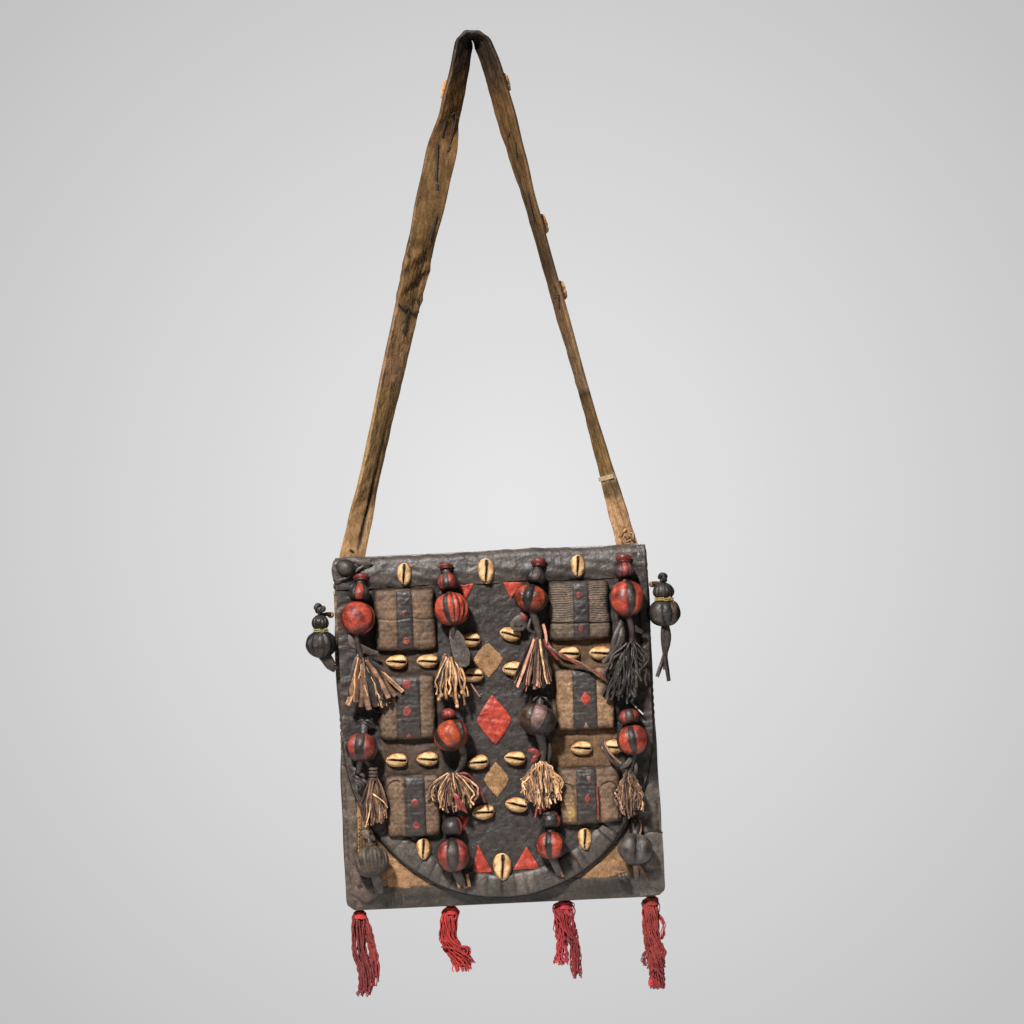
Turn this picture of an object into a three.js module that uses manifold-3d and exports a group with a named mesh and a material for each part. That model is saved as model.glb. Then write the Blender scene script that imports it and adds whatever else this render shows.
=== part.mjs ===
// Leather diviner's bag on a long shoulder strap: a flat sewn pouch whose flap carries stitched
// packets, stuffed ball pendants and cowrie shells, with four yarn tassels under the bottom seam.
// Millimetres, +Z up. The origin is where the strap hangs and the front of the bag faces -Y.

import * as THREE from 'three';
import { mergeVertices } from 'three/addons/utils/BufferGeometryUtils.js';
import Module from 'manifold-3d';

// Pouch
const BAG_WIDTH = 277;
const BAG_HEIGHT = 306;
const BAG_DEPTH = 30;
const LEATHER = 2.6; // one panel with its lining
const GAP = 0.3; // air between pieces that lie on each other
const FRONT_EDGE_DROP = 4.5; // front panel and gussets stop this far below the back panel

// Shoulder strap
const STRAP_DROP = 455; // from the hang point down to the top edge of the bag
const STRAP_SHIFT = 5; // hang point to the right of the bag's centre line
const STRAP_WIDTH = 26;
const STRAP_THICK = 4;
const STRAP_SEWN = 45; // length of each end sewn inside the back panel
const STRAP_INSET = 16.5; // side of the bag to the middle of a strap end
const STRAP_CORNER = 1.2; // broken edge of the strap's section

// Flap
const FLAP_INSET = 3; // side of the bag to the edge of the flap
const FLAP_SHORT = 6; // bottom of the bag to the lowest point of the flap
const FLAP_CURVE = 145; // height of the curved lower part
const FLAP_THICK = 3;
const FLAP_PLAY = 0.6; // front panel to the back of the flap
const BAND_DROP = 25; // rolled band along the top of the flap
const BAND_RISE = 3; // top of the band above the top edge of the bag
const BAND_ROLL = 8; // outside radius where the band turns over the top
const RIM_WIDTH = 20; // binding along the curve
const HINGE_PLAY = 1.8; // front of the strap to the fold line of the flap
const TAB_PLAY = 0.8; // rear edge of the band to the back panel
const NOTCH_SIDE = 2; // strap's edge to the notch in the band beside it
const WRAP_WIDTH = 38; // leather folded over the left end of the band
const WRAP_DROP = 20;
const WRAP_THICK = 3.5;
const WRAP_FOLD = 9; // top edge of the bag to the fold at the middle of the wrap

// Columns of the ornament, from the flap's edge, and rows of packets
const OUTER_INSET = 18.5; // flap's edge to the outer pendants
const PACKET_INSET = 58.5; // flap's edge to the middle of the packets
const INNER_INSET = 97; // flap's edge to the inner pendants
const UPPER_ROW = 53.5; // top edge of the bag to the upper packets
const MIDDLE_RISE = 20; // middle of the flap up to the middle packets
const LOWER_RISE = 83.5; // lowest point of the flap up to the lower packets
const PACKET_THICK = 9;
const PACKET_CORNER = 3;
const PACKET_BEVEL = 2;
const PACKET_HEIGHT = 54;
const PACKET_WIDTH = 52;
const COWRIE_LENGTH = 20;
const COWRIE_WIDTH = 13.5;
const COWRIE_HEIGHT = 7;
const SLIT_WIDTH = 1.4;
const SLIT_DEPTH = 2;
const SLIT_SHARE = 0.8; // of the shell's length
const COWRIE_TAPER = 0.24; // one end of the shell is broader

// Pendants
const THONG_RADIUS = 2.5;
const FAN_THICK = 6; // leather tassel, pressed flat
const FAN_CLEAR = 1; // tassel in front of the packets
const SIDE_REACH = 12; // side of the bag to the axis of a side pendant
const SIDE_FORWARD = 7; // front of the bag to the axis of a side pendant
const TIE_RADIUS = 2; // thong that ties a side pendant to the seam

// Yarn tassels
const YARN_NECK = 3; // round knot that the tassel swings on

const HALF = BAG_WIDTH / 2;
const FACE = -BAG_DEPTH / 2; // outside of the front panel
const BACK = BAG_DEPTH / 2;
const FLAP_FACE = FACE - FLAP_PLAY - FLAP_THICK;
const FLAP_HALF = HALF - FLAP_INSET;
const FLAP_DROP = BAG_HEIGHT - FLAP_SHORT;
const STRAP_Y = BACK - LEATHER - GAP - STRAP_THICK / 2;
const HINGE_Y = STRAP_Y - STRAP_THICK / 2 - HINGE_PLAY;
const STRAP_FOOT = HALF - STRAP_INSET;
const OUTER = FLAP_HALF - OUTER_INSET;
const PACKET_COLUMN = FLAP_HALF - PACKET_INSET;
const INNER = FLAP_HALF - INNER_INSET;
const FAN_DEPTH = PACKET_THICK + GAP + FAN_CLEAR;
const MIDDLE = FLAP_DROP / 2;
const PACKET_ROWS = [UPPER_ROW, MIDDLE - MIDDLE_RISE, FLAP_DROP - LOWER_RISE];

const wasm = await Module();
wasm.setup();

function leather(color, roughness = 0.6) {
  return new THREE.MeshStandardMaterial({ color, roughness, metalness: 0 });
}

const BLACK_LEATHER = leather('#3a3632', 0.5);
const BROWN_LEATHER = leather('#73624e');
const TAN_LEATHER = leather('#96765a', 0.7);
const RED_LEATHER = leather('#b8463a');
const DARK_BALL = leather('#45423c');
const SHELL = leather('#ebc08a', 0.35);
const YARN = leather('#a52c2c', 0.9);

// Position-only geometry with shared corners and no collapsed triangles
function weld(geometry) {
  const plain = geometry.clone();
  plain.deleteAttribute('normal');
  plain.deleteAttribute('uv');
  const merged = mergeVertices(plain, 1e-4);
  const corners = merged.index.array;
  const kept = [];
  for (let i = 0; i < corners.length; i += 3) {
    const [a, b, c] = [corners[i], corners[i + 1], corners[i + 2]];
    if (a !== b && b !== c && c !== a) kept.push(a, b, c);
  }
  merged.setIndex(kept);
  return merged;
}

function toManifold(geometry) {
  const welded = weld(geometry);
  return new wasm.Manifold(new wasm.Mesh({
    numProp: 3,
    vertProperties: new Float32Array(welded.attributes.position.array),
    triVerts: new Uint32Array(welded.index.array),
  }));
}

function fromManifold(body) {
  const { vertProperties, triVerts } = body.getMesh();
  const geometry = new THREE.BufferGeometry();
  geometry.setAttribute('position', new THREE.BufferAttribute(vertProperties, 3));
  geometry.setIndex(new THREE.BufferAttribute(triVerts, 1));
  geometry.computeVertexNormals();
  return geometry;
}

function joined(geometries) {
  return fromManifold(geometries.map(toManifold).reduce((whole, next) => whole.add(next)));
}

function cut(geometry, tools) {
  const left = tools.map(toManifold).reduce((rest, tool) => rest.subtract(tool), toManifold(geometry));
  return fromManifold(left);
}

function add(parent, name, geometry, material) {
  const mesh = new THREE.Mesh(geometry, material);
  mesh.name = name;
  parent.add(mesh);
  return mesh;
}

// Box between two corners
function block([x0, y0, z0], [x1, y1, z1]) {
  const geometry = new THREE.BoxGeometry(x1 - x0, y1 - y0, z1 - z0);
  return geometry.translate((x0 + x1) / 2, (y0 + y1) / 2, (z0 + z1) / 2);
}

// Upright plate: an outline in X and Z, from y = near (towards the viewer) to y = near + thick
function plate(outline, near, thick) {
  const settings = { depth: thick, bevelEnabled: false, curveSegments: 10 };
  const geometry = new THREE.ExtrudeGeometry(outline, settings);
  return geometry.rotateX(Math.PI / 2).translate(0, near + thick, 0);
}

// Round bar between two points
function bar(from, to, radius) {
  const along = new THREE.Vector3().subVectors(to, from);
  const geometry = new THREE.CylinderGeometry(radius, radius, along.length(), 8);
  const upright = new THREE.Vector3(0, 1, 0);
  const turn = new THREE.Quaternion().setFromUnitVectors(upright, along.clone().normalize());
  return geometry.applyQuaternion(turn).translate(...from.clone().lerp(to, 0.5).toArray());
}

// Closed body through rings of points, with flat ends
function loft(rings) {
  const sides = rings[0].length;
  const last = (rings.length - 1) * sides;
  const faces = [];
  for (let i = 0; i < rings.length - 1; i++) {
    for (let j = 0; j < sides; j++) {
      const [a, b] = [i * sides + j, i * sides + (j + 1) % sides];
      faces.push(a, b, b + sides, a, b + sides, a + sides);
    }
  }
  for (let j = 1; j < sides - 1; j++) {
    faces.push(0, j + 1, j, last, last + j, last + j + 1);
  }
  const geometry = new THREE.BufferGeometry();
  geometry.setFromPoints(rings.flat());
  geometry.setIndex(faces);
  geometry.computeVertexNormals();
  return geometry;
}

// The bag's own frame: x from its centre line, z down from its top edge
const bag = new THREE.Group();
bag.position.set(-STRAP_SHIFT, 0, -STRAP_DROP);

function makePouch() {
  const inside = [FACE + LEATHER + GAP, BACK - LEATHER - GAP];
  const low = -BAG_HEIGHT;
  const side = low + LEATHER + GAP;
  add(bag, 'back_panel', block([-HALF, BACK - LEATHER, low], [HALF, BACK, 0]), BROWN_LEATHER);
  const front = block([-HALF, FACE, low], [HALF, FACE + LEATHER, -FRONT_EDGE_DROP]);
  add(bag, 'front_panel', front, TAN_LEATHER);
  const left = block([-HALF, inside[0], side], [-HALF + LEATHER, inside[1], -FRONT_EDGE_DROP]);
  add(bag, 'side_gusset_left', left, BLACK_LEATHER);
  const right = block([HALF - LEATHER, inside[0], side], [HALF, inside[1], -FRONT_EDGE_DROP]);
  add(bag, 'side_gusset_right', right, BLACK_LEATHER);
  const bottom = block([-HALF, inside[0], low], [HALF, inside[1], low + LEATHER]);
  add(bag, 'bottom_gusset', bottom, BLACK_LEATHER);
}

// Stations along one run of the strap: share of the way up, turn of the face in degrees, width.
// A turn of 0 shows the flat face to the viewer and 90 shows the edge.
const LEFT_RUN = [
  [0.05, 6, 26], [0.14, 54, 26], [0.24, 54, 26], [0.42, 46, 26], [0.6, 42, 26],
  [0.7, 22, 26], [0.8, 12, 26], [0.89, 54, 26], [0.97, 54, 24],
];
const RIGHT_RUN = [
  [0.05, 8, 18], [0.1, 34, 18], [0.18, 58, 20], [0.28, 73, 24], [0.48, 73, 26], [0.7, 73, 26],
  [0.8, 62, 26], [0.9, 56, 26], [0.98, 56, 24],
];
// Middle of the strap where it turns over the hang point, relative to that point
const SHOULDERS = [[-8, -17], [15, -17]];
const BEND = [[-6.5, -7], [-3, 0.4], [1, STRAP_THICK / 2], [6, -0.6], [10.5, -7.5]];
const RIGHT_FOOT_WIDTH = 18;
const STEPS_PER_STATION = 3;

function runPoint(side, share) {
  const foot = new THREE.Vector3(side * STRAP_FOOT, STRAP_Y, 0);
  const [x, z] = SHOULDERS[side < 0 ? 0 : 1];
  const shoulder = new THREE.Vector3(STRAP_SHIFT + x, 0, STRAP_DROP + z);
  return foot.lerp(shoulder, share);
}

function strapStations() {
  const bend = BEND.map(([x, z]) => ({
    at: new THREE.Vector3(STRAP_SHIFT + x, 0, STRAP_DROP + z), turn: 90, width: STRAP_WIDTH - 2,
  }));
  const run = (side, list) => list.map(([share, turn, width]) => (
    { at: runPoint(side, share), turn, width }
  ));
  const end = (side, z, width) => ({ at: new THREE.Vector3(side * STRAP_FOOT, STRAP_Y, z), turn: 0, width });
  return [
    end(-1, -STRAP_SEWN, STRAP_WIDTH), end(-1, 0, STRAP_WIDTH), ...run(-1, LEFT_RUN), ...bend,
    ...run(1, RIGHT_RUN).reverse(), end(1, 0, RIGHT_FOOT_WIDTH), end(1, -STRAP_SEWN, RIGHT_FOOT_WIDTH),
  ];
}

// Width and face directions of the strap for a heading in the XZ plane and a turn
function strapAxes(heading, turn) {
  const inward = new THREE.Vector3(heading.z, 0, -heading.x).normalize();
  const depth = new THREE.Vector3(0, 1, 0);
  const [c, s] = [Math.cos(THREE.MathUtils.degToRad(turn)), Math.sin(THREE.MathUtils.degToRad(turn))];
  const across = inward.clone().multiplyScalar(c).addScaledVector(depth, s);
  const outward = inward.clone().multiplyScalar(-s).addScaledVector(depth, c);
  return { across, outward };
}

function strapRing(station, heading) {
  const { across, outward } = strapAxes(heading, station.turn);
  const [w, t] = [station.width / 2, STRAP_THICK / 2];
  const corners = [
    [-w + STRAP_CORNER, -t], [w - STRAP_CORNER, -t], [w, -t + STRAP_CORNER], [w, t - STRAP_CORNER],
    [w - STRAP_CORNER, t], [-w + STRAP_CORNER, t], [-w, t - STRAP_CORNER], [-w, -t + STRAP_CORNER],
  ];
  return corners.map(([a, b]) => station.at.clone().addScaledVector(across, a).addScaledVector(outward, b));
}

function makeStrap() {
  const stations = strapStations();
  const fine = [];
  stations.forEach((station, i) => {
    const next = stations[i + 1];
    const steps = next ? STEPS_PER_STATION : 1;
    for (let k = 0; k < steps; k++) {
      const share = k / steps;
      const ease = THREE.MathUtils.smoothstep(share, 0, 1);
      const other = next ?? station;
      fine.push({
        at: station.at.clone().lerp(other.at, share),
        turn: THREE.MathUtils.lerp(station.turn, other.turn, ease),
        width: THREE.MathUtils.lerp(station.width, other.width, ease),
      });
    }
  });
  const rings = fine.map((station, i) => {
    const before = fine[Math.max(i - 1, 0)].at;
    const after = fine[Math.min(i + 1, fine.length - 1)].at;
    return strapRing(station, new THREE.Vector3().subVectors(after, before));
  });
  add(bag, 'shoulder_strap', loft(rings), TAN_LEATHER);
}

// Cowrie lying on y = 0 with its slit towards -Y and its length along Z
function cowrie(size = 1) {
  const [l, w, h] = [COWRIE_LENGTH * size, COWRIE_WIDTH * size, COWRIE_HEIGHT];
  const egg = new THREE.SphereGeometry(1, 10, 6).scale(w / 2, h, l / 2);
  const at = egg.attributes.position;
  for (let i = 0; i < at.count; i++) {
    at.setX(i, at.getX(i) * (1 + COWRIE_TAPER * at.getZ(i) / l));
  }
  const behind = block([-w, 0, -l], [w, h + 1, l]);
  const end = SLIT_SHARE * l / 2;
  const slit = block([-SLIT_WIDTH / 2, -h - 1, -end], [SLIT_WIDTH / 2, -h + SLIT_DEPTH, end]);
  return cut(egg, [behind, slit]);
}

// Cowries sewn to the outer face of the strap: side and share of the way up
const STRAP_COWRIES = [[-1, 0.93], [1, 0.94], [1, 0.655], [1, 0.52]];

function makeStrapCowries() {
  STRAP_COWRIES.forEach(([side, share], i) => {
    const list = side < 0 ? LEFT_RUN : RIGHT_RUN;
    const above = list.findIndex(([s]) => s > share);
    const [low, high] = [list[above - 1], list[above]];
    const ease = THREE.MathUtils.smoothstep(share, low[0], high[0]);
    const turn = THREE.MathUtils.lerp(low[1], high[1], ease);
    const up = new THREE.Vector3().subVectors(runPoint(side, 1), runPoint(side, 0)).normalize();
    const { outward } = strapAxes(up.clone().multiplyScalar(-side), turn);
    const front = outward.clone().negate();
    const across = new THREE.Vector3().crossVectors(front, up).normalize();
    const lift = STRAP_THICK / 2 + GAP * 2;
    const upward = new THREE.Vector3().crossVectors(across, front);
    const place = new THREE.Matrix4().makeBasis(across, front, upward);
    place.setPosition(runPoint(side, share).addScaledVector(outward, lift));
    const shell = cowrie(0.95).applyMatrix4(place);
    add(bag, `strap_cowrie_${i + 1}`, shell, SHELL);
  });
}

// Straight sides down to the curve, then half an ellipse
function flapOutline(top, half, drop) {
  const curve = drop - (FLAP_DROP - FLAP_CURVE);
  const outline = new THREE.Shape();
  outline.moveTo(-half, top);
  outline.lineTo(-half, -(FLAP_DROP - FLAP_CURVE));
  outline.absellipse(0, -(FLAP_DROP - FLAP_CURVE), half, curve, Math.PI, 2 * Math.PI);
  outline.lineTo(half, top);
  return outline;
}

function makeFlap() {
  const profile = new THREE.Shape();
  const [rear, top] = [BACK - LEATHER - TAB_PLAY, BAND_RISE];
  const roll = [FLAP_FACE + BAND_ROLL, top - BAND_ROLL];
  profile.moveTo(rear, top);
  profile.absarc(...roll, BAND_ROLL, Math.PI / 2, Math.PI, false);
  profile.lineTo(FLAP_FACE, -BAND_DROP);
  profile.lineTo(FLAP_FACE + FLAP_THICK, -BAND_DROP);
  profile.absarc(...roll, BAND_ROLL - FLAP_THICK, Math.PI, Math.PI / 2, true);
  profile.lineTo(rear, top - FLAP_THICK);
  const length = { depth: 2 * FLAP_HALF, bevelEnabled: false, curveSegments: 6 };
  const band = new THREE.ExtrudeGeometry(profile, length).translate(0, 0, -FLAP_HALF);
  band.applyMatrix4(new THREE.Matrix4().makeBasis(
    new THREE.Vector3(0, 1, 0), new THREE.Vector3(0, 0, 1), new THREE.Vector3(1, 0, 0),
  ));
  const inner = STRAP_FOOT - STRAP_WIDTH / 2 - NOTCH_SIDE;
  const notches = [[-HALF, -inner], [inner, HALF]].map(([x0, x1]) => (
    block([x0, HINGE_Y - GAP, -FLAP_THICK], [x1, BACK, top + 1])
  ));
  add(bag, 'top_band', cut(band, notches), BLACK_LEATHER);

  const innerHalf = FLAP_HALF - RIM_WIDTH;
  const innerDrop = FLAP_DROP - RIM_WIDTH;
  const straight = -(FLAP_DROP - FLAP_CURVE);
  const panel = new THREE.Shape();
  panel.moveTo(-FLAP_HALF, -BAND_DROP - GAP);
  panel.lineTo(-FLAP_HALF, straight + GAP);
  panel.lineTo(-innerHalf + GAP, straight + GAP);
  panel.absellipse(0, straight, innerHalf - GAP, FLAP_CURVE - RIM_WIDTH - GAP, Math.PI, 2 * Math.PI);
  panel.lineTo(innerHalf - GAP, straight + GAP);
  panel.lineTo(FLAP_HALF, straight + GAP);
  panel.lineTo(FLAP_HALF, -BAND_DROP - GAP);
  add(bag, 'flap_panel', plate(panel, FLAP_FACE, FLAP_THICK), BLACK_LEATHER);

  const rim = flapOutline(straight, FLAP_HALF, FLAP_DROP);
  rim.lineTo(innerHalf, straight);
  rim.absellipse(0, straight, innerHalf, innerDrop + straight, 2 * Math.PI, Math.PI, true);
  add(bag, 'flap_rim', plate(rim, FLAP_FACE, FLAP_THICK), BLACK_LEATHER);

  const wrap = new THREE.Shape();
  wrap.moveTo(-FLAP_HALF, BAND_RISE - BAND_ROLL / 3);
  wrap.lineTo(-FLAP_HALF + WRAP_WIDTH, BAND_RISE - BAND_ROLL / 3);
  const fold = [-FLAP_HALF + WRAP_WIDTH / 2, -WRAP_FOLD];
  wrap.quadraticCurveTo(-FLAP_HALF + WRAP_WIDTH * 0.9, 4 - WRAP_FOLD, ...fold);
  wrap.lineTo(-FLAP_HALF, -WRAP_DROP);
  add(bag, 'corner_wrap', plate(wrap, FLAP_FACE - GAP - WRAP_THICK, WRAP_THICK), BLACK_LEATHER);
}

// Packets: name, column side, row, shift from the column, width, height, shift from the row
const PACKETS = [
  ['packet_left_upper', -1, 0, 0.5, PACKET_WIDTH + 2, PACKET_HEIGHT, 0],
  ['packet_left_middle', -1, 1, -1, PACKET_WIDTH - 2, PACKET_HEIGHT + 2, 0],
  ['packet_left_lower', -1, 2, 0.5, PACKET_WIDTH - 4, PACKET_HEIGHT, 0],
  ['packet_right_upper', 1, 0, -1, PACKET_WIDTH + 2, PACKET_HEIGHT - 2, 1],
  ['packet_right_middle', 1, 1, 0.5, PACKET_WIDTH, PACKET_HEIGHT, 0],
  ['packet_right_lower', 1, 2, 1.5, PACKET_WIDTH + 2, PACKET_HEIGHT - 4, 2],
];

function makePackets() {
  for (const [name, side, row, shift, width, height, rise] of PACKETS) {
    const [w, h] = [width / 2 - PACKET_BEVEL, height / 2 - PACKET_BEVEL];
    const outline = new THREE.Shape();
    outline.moveTo(-w + PACKET_CORNER, -h);
    outline.absarc(w - PACKET_CORNER, -h + PACKET_CORNER, PACKET_CORNER, -Math.PI / 2, 0);
    outline.absarc(w - PACKET_CORNER, h - PACKET_CORNER, PACKET_CORNER, 0, Math.PI / 2);
    outline.absarc(-w + PACKET_CORNER, h - PACKET_CORNER, PACKET_CORNER, Math.PI / 2, Math.PI);
    outline.absarc(-w + PACKET_CORNER, -h + PACKET_CORNER, PACKET_CORNER, Math.PI, 1.5 * Math.PI);
    const pad = new THREE.ExtrudeGeometry(outline, {
      depth: PACKET_THICK - 2 * PACKET_BEVEL, curveSegments: 2,
      bevelThickness: PACKET_BEVEL, bevelSize: PACKET_BEVEL, bevelSegments: 2,
    });
    pad.rotateX(Math.PI / 2).translate(0, -PACKET_BEVEL, 0);
    const mesh = add(bag, name, weld(pad), BROWN_LEATHER);
    mesh.position.set(side * PACKET_COLUMN + shift, FLAP_FACE - GAP, rise - PACKET_ROWS[row]);
  }
}

// Middle of the free strip between two packet rows, and below the last
const ROW_GAPS = [
  (PACKET_ROWS[0] + PACKET_ROWS[1]) / 2,
  (PACKET_ROWS[1] + PACKET_ROWS[2]) / 2,
  PACKET_ROWS[2] + PACKET_HEIGHT / 2 + COWRIE_LENGTH / 2 + 1,
];
const PAIR = 13.5; // half the spacing of two cowries under a packet
const UPRIGHT = 0;
const LYING = 90;

// Cowries on the flap: name, x, drop below the top edge, turn in degrees, size
const COWRIES = [
  ['cowrie_band_left', 2 - PACKET_COLUMN, 14, UPRIGHT, 1],
  ['cowrie_band_middle', -3.5, 14.5, UPRIGHT, 1.12],
  ['cowrie_band_right', PACKET_COLUMN, 14, UPRIGHT, 1],
  ['cowrie_left_1', 5 - PACKET_COLUMN - PAIR, ROW_GAPS[0] - 1.5, LYING, 0.95],
  ['cowrie_left_2', 5 - PACKET_COLUMN + PAIR, ROW_GAPS[0] - 1, LYING, 0.95],
  ['cowrie_left_3', 1 - PACKET_COLUMN - PAIR, ROW_GAPS[1] + 3, LYING, 0.95],
  ['cowrie_left_4', 1 - PACKET_COLUMN + PAIR, ROW_GAPS[1] + 3, LYING, 0.95],
  ['cowrie_left_5', 7.5 - PACKET_COLUMN, ROW_GAPS[2], UPRIGHT, 0.95],
  ['cowrie_right_1', 2 + PACKET_COLUMN - PAIR, ROW_GAPS[0] - 1.5, LYING, 0.95],
  ['cowrie_right_2', 2 + PACKET_COLUMN + PAIR, ROW_GAPS[0] - 1, LYING, 0.95],
  ['cowrie_right_3', 9 + PACKET_COLUMN - PAIR, ROW_GAPS[1], LYING, 0.95],
  ['cowrie_right_4', 9 + PACKET_COLUMN + PAIR, ROW_GAPS[1], LYING, 0.95],
  ['cowrie_right_5', -5 + PACKET_COLUMN, ROW_GAPS[2] - 2, UPRIGHT, 0.95],
  ['cowrie_middle_1', -20.5, 74, LYING, 0.95],
  ['cowrie_middle_2', 15, 70.5, LYING + 12, 0.95],
  ['cowrie_middle_3', -19.5, 105, LYING, 0.95],
  ['cowrie_middle_4', 16, 101, LYING, 0.95],
  ['cowrie_middle_5', -18.5, ROW_GAPS[1] + 8.25, LYING - 8, 0.95],
  ['cowrie_middle_6', 14, ROW_GAPS[1] + 6.25, LYING + 5, 0.95],
  ['cowrie_middle_7', -16, FLAP_DROP - 75, LYING - 6, 1],
  ['cowrie_middle_8', 13.5, FLAP_DROP - 80, LYING + 10, 1],
  ['cowrie_bottom', -1.5, FLAP_DROP - 26.5, UPRIGHT, 1.2],
];

function makeFlapCowries() {
  for (const [name, x, drop, turn, size] of COWRIES) {
    const shell = cowrie(size).rotateY(THREE.MathUtils.degToRad(turn));
    add(bag, name, shell, SHELL).position.set(x, FLAP_FACE - GAP, -drop);
  }
}

// One stuffed pendant. Bulbs run from the seat down to the ball, each as [x, drop, radius, half height].
// The first bulb touches the face that carries it and the ball leans out just enough to clear it too.
// A tail follows down to the tassel, a flat fan of strips given by the x and drop of its top, its
// bottom, and its widths there.
const ARC_STEPS = [-60, -30, 0, 30, 60];

function bulbDepths(bulbs) {
  const [seat, ball] = [bulbs[0], bulbs[bulbs.length - 1]];
  const near = seat[2] + GAP;
  let far = ball[2] + GAP;
  for (const [, drop, radius] of bulbs.slice(1, -1)) {
    const share = (drop - seat[1]) / (ball[1] - seat[1]);
    far = Math.max(far, near + (radius + GAP - near) / share);
  }
  return { near, far };
}

function bulbChain(bulbs, from, to) {
  const axis = new THREE.Vector3().subVectors(to, from);
  const unit = axis.length() / (bulbs[bulbs.length - 1][1] - bulbs[0][1]);
  const profile = [];
  bulbs.forEach(([, drop, radius, tall], i) => {
    const middle = (drop - bulbs[0][1]) * unit;
    if (i === 0) profile.push(new THREE.Vector2(0, middle - tall));
    for (const step of ARC_STEPS) {
      const angle = THREE.MathUtils.degToRad(step);
      profile.push(new THREE.Vector2(radius * Math.cos(angle), middle + tall * Math.sin(angle)));
    }
    if (i === bulbs.length - 1) profile.push(new THREE.Vector2(0, middle + tall));
  });
  const turn = new THREE.Quaternion().setFromUnitVectors(new THREE.Vector3(0, 1, 0), axis.normalize());
  return new THREE.LatheGeometry(profile, 10).applyQuaternion(turn).translate(...from.toArray());
}

function fan({ top, bottom, widths }, near) {
  const outline = new THREE.Shape();
  const [[x0, z0], [x1, z1]] = [top, bottom];
  outline.moveTo(x0 - widths[0] / 2, -z0);
  outline.lineTo(x1 - widths[1] / 2, -z1 + widths[1] / 6);
  outline.lineTo(x1 - widths[1] / 5, -z1);
  outline.lineTo(x1 + widths[1] / 5, -z1);
  outline.lineTo(x1 + widths[1] / 2, -z1 + widths[1] / 6);
  outline.lineTo(x0 + widths[0] / 2, -z0);
  return plate(outline, near, FAN_THICK);
}

function pendant({ name, bulbs, tail, tassel, material }, face) {
  const { near, far } = bulbDepths(bulbs);
  const ball = bulbs[bulbs.length - 1];
  const from = new THREE.Vector3(bulbs[0][0], face - near, -bulbs[0][1]);
  const to = new THREE.Vector3(ball[0], face - far, -ball[1]);
  const parts = [bulbChain(bulbs, from, to)];
  if (tassel) {
    const middle = face - FAN_DEPTH - FAN_THICK / 2;
    const knot = new THREE.Vector3(tassel.top[0], middle, -tassel.top[1] - FAN_THICK);
    parts.push(bar(to, knot, THONG_RADIUS), fan(tassel, middle - FAN_THICK / 2));
  } else {
    parts.push(bar(to, new THREE.Vector3(tail[0], face - far, -tail[1]), THONG_RADIUS));
  }
  add(bag, name, joined(parts), material);
}

const FLAP_PENDANTS = [
  {
    name: 'pendant_outer_left_upper', material: RED_LEATHER,
    bulbs: [[-OUTER + 4, 14.5, 5, 4], [-OUTER + 3, 28, 8, 8], [-OUTER - 0.5, 50, 13.6, 14]],
    tassel: { top: [-OUTER + 2, 90], bottom: [-OUTER + 8, 131], widths: [12, 50] },
  },
  {
    name: 'pendant_outer_left_lower', material: RED_LEATHER,
    bulbs: [[-OUTER + 1, MIDDLE - 6, 5, 5], [-OUTER - 2, MIDDLE + 13, 12.6, 12]],
    tassel: { top: [-OUTER + 7, MIDDLE + 34], bottom: [-OUTER + 6.5, MIDDLE + 80], widths: [12, 24] },
  },
  {
    name: 'pendant_inner_left_upper', material: RED_LEATHER,
    bulbs: [[-INNER, 10, 5, 3.6], [-INNER - 0.5, 22, 8, 7.6], [-INNER + 3.5, 46, 13.6, 14]],
    tassel: { top: [-INNER - 0.5, 88], bottom: [-INNER, 129], widths: [16, 34] },
  },
  {
    name: 'pendant_inner_left_middle', material: RED_LEATHER,
    bulbs: [[-INNER - 4, MIDDLE - 11.5, 6, 6], [-INNER - 2, MIDDLE + 6, 14, 12.5]],
    tassel: { top: [-INNER - 2.5, MIDDLE + 42], bottom: [-INNER - 0.5, MIDDLE + 74], widths: [14, 44] },
  },
  {
    name: 'pendant_inner_left_lower', material: RED_LEATHER,
    bulbs: [[-INNER - 5, FLAP_DROP - 64, 8.2, 8.4], [-INNER - 5.5, FLAP_DROP - 39.5, 13, 14]],
    tail: [-INNER + 0.5, FLAP_DROP - 16],
  },
  {
    name: 'pendant_inner_right_upper', material: RED_LEATHER,
    bulbs: [[INNER + 4, 10.5, 5, 3.2], [INNER + 2, 21, 7.5, 7], [INNER - 4, 40, 13.2, 11.2]],
    tassel: { top: [INNER - 1, 78], bottom: [INNER - 2.5, 121], widths: [10, 38] },
  },
  {
    name: 'pendant_inner_right_middle', material: DARK_BALL,
    bulbs: [[INNER, MIDDLE - 20, 5, 4], [INNER - 3, MIDDLE - 4, 14.6, 12.5]],
    tassel: { top: [INNER - 2, MIDDLE + 27], bottom: [INNER - 1, MIDDLE + 70], widths: [18, 36] },
  },
  {
    name: 'pendant_inner_right_lower', material: RED_LEATHER,
    bulbs: [[INNER + 4, FLAP_DROP - 66, 7.4, 7.4], [INNER + 3.5, FLAP_DROP - 44, 11.8, 11.6]],
    tail: [INNER + 9, FLAP_DROP - 21],
  },
  {
    name: 'pendant_outer_right_upper', material: RED_LEATHER,
    bulbs: [[OUTER, 9.5, 5, 3.4], [OUTER - 0.5, 19.5, 7.6, 7.2], [OUTER + 1, 44, 13.6, 15]],
    tassel: { top: [OUTER + 0.5, 86], bottom: [OUTER - 4, 136], widths: [12, 42] },
  },
  {
    name: 'pendant_outer_right_lower', material: RED_LEATHER,
    bulbs: [[OUTER - 2, MIDDLE - 2.5, 9, 6.2], [OUTER + 0.5, MIDDLE + 17.5, 12.6, 12.6]],
    tassel: { top: [OUTER - 5, MIDDLE + 46], bottom: [OUTER - 4, MIDDLE + 86], widths: [10, 24] },
  },
];

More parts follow.
